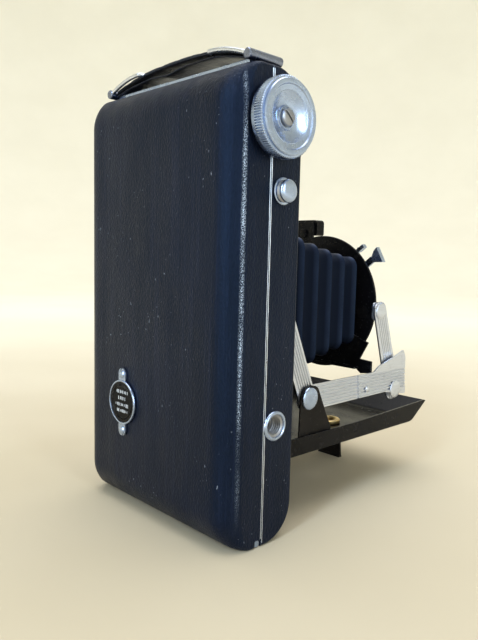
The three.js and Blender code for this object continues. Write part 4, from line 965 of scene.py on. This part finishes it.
def build_finder():
    outline = rounded([[102.2, 5, 0.9], [102.2, 17, 0.9], [109, 17, 1.6], [109, 5, 1.6]])
    shell = to_object("finder_box", prism("y", outline, -83, -78.2))
    carve(shell, box(6.4, 15.6, -84, -79.0, 103.2, 108))
    carve(shell, prism("y", rounded([[103.9, 8.6, 0.8], [103.9, 13.4, 0.8], [107.3, 13.4, 0.8],
                                     [107.3, 8.6, 0.8]]),
                       -80, -77))
    carve(shell, rod("y", 1.0, -79, -76.1, (103.1, 11)), how="UNION")
    carve(shell, rod("y", 1.8, -76.3, -75.7, (103.1, 11)), how="UNION")
    dress(shell, "finder", "enamel", ["finder_body"], bevel=0.18)
    pane = []
    for k in range(13):
        t = k / 12
        x = 6.7 + 8.6 * t
        sag = 0.4 * math.sin(math.pi * t)
        pane.append([(x, -81.75, 103.5), (x, -82.1 - sag, 103.5), (x, -82.1 - sag, 107.7),
                     (x, -81.75, 107.7)])
    make("finder_front_lens", loft(pane), "finder", "glass", ["finder_lens"])


build_standard()
build_rings()
build_levers()
build_finder()


# ---------------------------------------------------------------- bellows
def bellows_loop(y, half_w, half_h, centre_z, radius):
    loop = []
    for corner, (sx, sz) in enumerate(((1, 1), (-1, 1), (-1, -1), (1, -1))):
        for k in range(7):
            a = math.pi / 2 * (corner + k / 6)
            loop.append((sx * (half_w - radius) + radius * math.cos(a), y,
                         centre_z + sz * (half_h - radius) + radius * math.sin(a)))
    out = []
    for i, p in enumerate(loop):
        q = loop[(i + 1) % len(loop)]
        out.append(p)
        if i % 7 == 6:
            out += [tuple(a + (b - a) * t / 6 for a, b in zip(p, q)) for t in range(1, 6)]
    return out


def build_bellows():
    """Pleated sleeve: rolled outer folds on its sides, shallower along its top and bottom."""
    rear, front, fine = BELLOWS["rear"], BELLOWS["front"], BELLOWS["fine"]
    loops, inner, folds = [], [], []
    total = BELLOWS["pleats"] * fine
    for i in range(total + 1):
        t = i / total
        phase = 2 * math.pi * (i % fine) / fine
        valley = (0.5 - 0.5 * math.cos(phase)) ** 1.6
        lean = 1.5 * math.sin(phase)
        y = rear + (front - rear) * t + (lean if 0 < i < total else 0)
        half_w = 28 - 8.5 * t - 3.1 * valley
        half_h = 18.4 + 19.6 * (1 - t) ** 1.3 - 1.9 * valley
        corner = 4.4 - 1.8 * valley
        skin = BELLOWS["skin"]
        loops.append(bellows_loop(y, half_w, half_h, BELLOWS["z"], corner))
        inner.append(bellows_loop(y, half_w - skin, half_h - skin, BELLOWS["z"], corner - skin))
        folds += [valley] * len(loops[-1])
    sleeve = loft(loops + list(reversed(inner)), closed=True)
    cloth = to_object("bellows_sleeve", sleeve)
    # the fold attribute carries each ring's valley depth; the bellows material uses it for painted shade and
    # dullness in the valleys
    cloth.data.attributes.new("fold", "FLOAT", "POINT").data.foreach_set("value", folds + folds[::-1])
    dress(cloth, "camera_body", "bellows", ["bellows"], angle=55)
    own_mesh(cloth)


build_bellows()


# ---------------------------------------------------------------- stage and light
def build_stage():
    """A round pale floor that sweeps up into a wall all round, its colour painted darker towards the middle
    as painted shade under and around the object.
    """
    rings = [(0.001, 0.0)] + [(0.15 * k, 0.0) for k in range(1, 9)]
    rings += [(1.2 + 1.3 * math.sin(a), 1.3 - 1.3 * math.cos(a)) for a in np.linspace(0.1, math.pi / 2, 12)]
    rings.append((2.5, 3.2))
    n = 72
    points, faces = [], []
    for r, z in rings:
        points += [(r * math.cos(2 * math.pi * k / n) / MM, r * math.sin(2 * math.pi * k / n) / MM, z / MM)
                   for k in range(n)]
    for i in range(len(rings) - 1):
        faces += [(i * n + k, i * n + (k + 1) % n, (i + 1) * n + (k + 1) % n,
                   (i + 1) * n + k) for k in range(n)]
    floor = to_object("floor", (points, faces))
    floor.data.flip_normals()
    floor.data.shade_smooth()
    f = Finish("pale_paper", Specular_IOR_Level=0.15)
    cloud = f.ramp(f.noise(0.006, detail=3), (0.35, 0.0), (0.7, 1.0))
    length = f.tree.nodes.new("ShaderNodeVectorMath")
    length.operation = "LENGTH"
    f.tree.links.new(f.coords, length.inputs[0])
    # painted shade: the floor colour runs from a dark beige near the middle to pale cream further out,
    # darkening the ground under the object
    painted_shade_falloff = f.ramp(length.outputs["Value"], (0.1, 0.0), (0.75, 1.0))
    near = f.mix(cloud, (0.50, 0.43, 0.31), (0.54, 0.47, 0.35))
    far = f.mix(cloud, (0.84, 0.79, 0.66), (0.87, 0.82, 0.69))
    f.bump((f.noise(1.2, detail=2), 0.15, 0.1))
    floor.data.materials.append(f.surface(f.mix(painted_shade_falloff, near, far), 0.85))


def add_light(name, place, target, size, power, colour):
    data = bpy.data.lights.new(name, "AREA")
    data.shape = "RECTANGLE"
    data.size, data.size_y = size
    data.energy = power
    data.color = colour
    light = bpy.data.objects.new(name, data)
    light.location = place
    light.rotation_euler = (Vector(target) - Vector(place)).to_track_quat("-Z", "Y").to_euler()
    bpy.context.scene.collection.objects.link(light)


build_stage()
add_light("window", (-0.42, 1.52, 0.75), (0, 0, 0.07), (0.22, 1.5), 26, (0.60, 0.79, 1.0))
add_light("ceiling", (0.1, -0.1, 1.9), (0, 0, 0), (1.8, 1.8), 34, (1.0, 0.99, 0.96))
add_light("side", (-1.5, 0.15, 0.6), (0, 0, 0.07), (0.3, 1.0), 9, (0.66, 0.82, 1.0))
world = bpy.data.worlds.new("soft_room")
world.use_nodes = True
world.node_tree.nodes["Background"].inputs["Color"].default_value = (0.86, 0.92, 1.0, 1)
world.node_tree.nodes["Background"].inputs["Strength"].default_value = 0.6
bpy.context.scene.world = world
bpy.context.scene.view_settings.view_transform = "Standard"
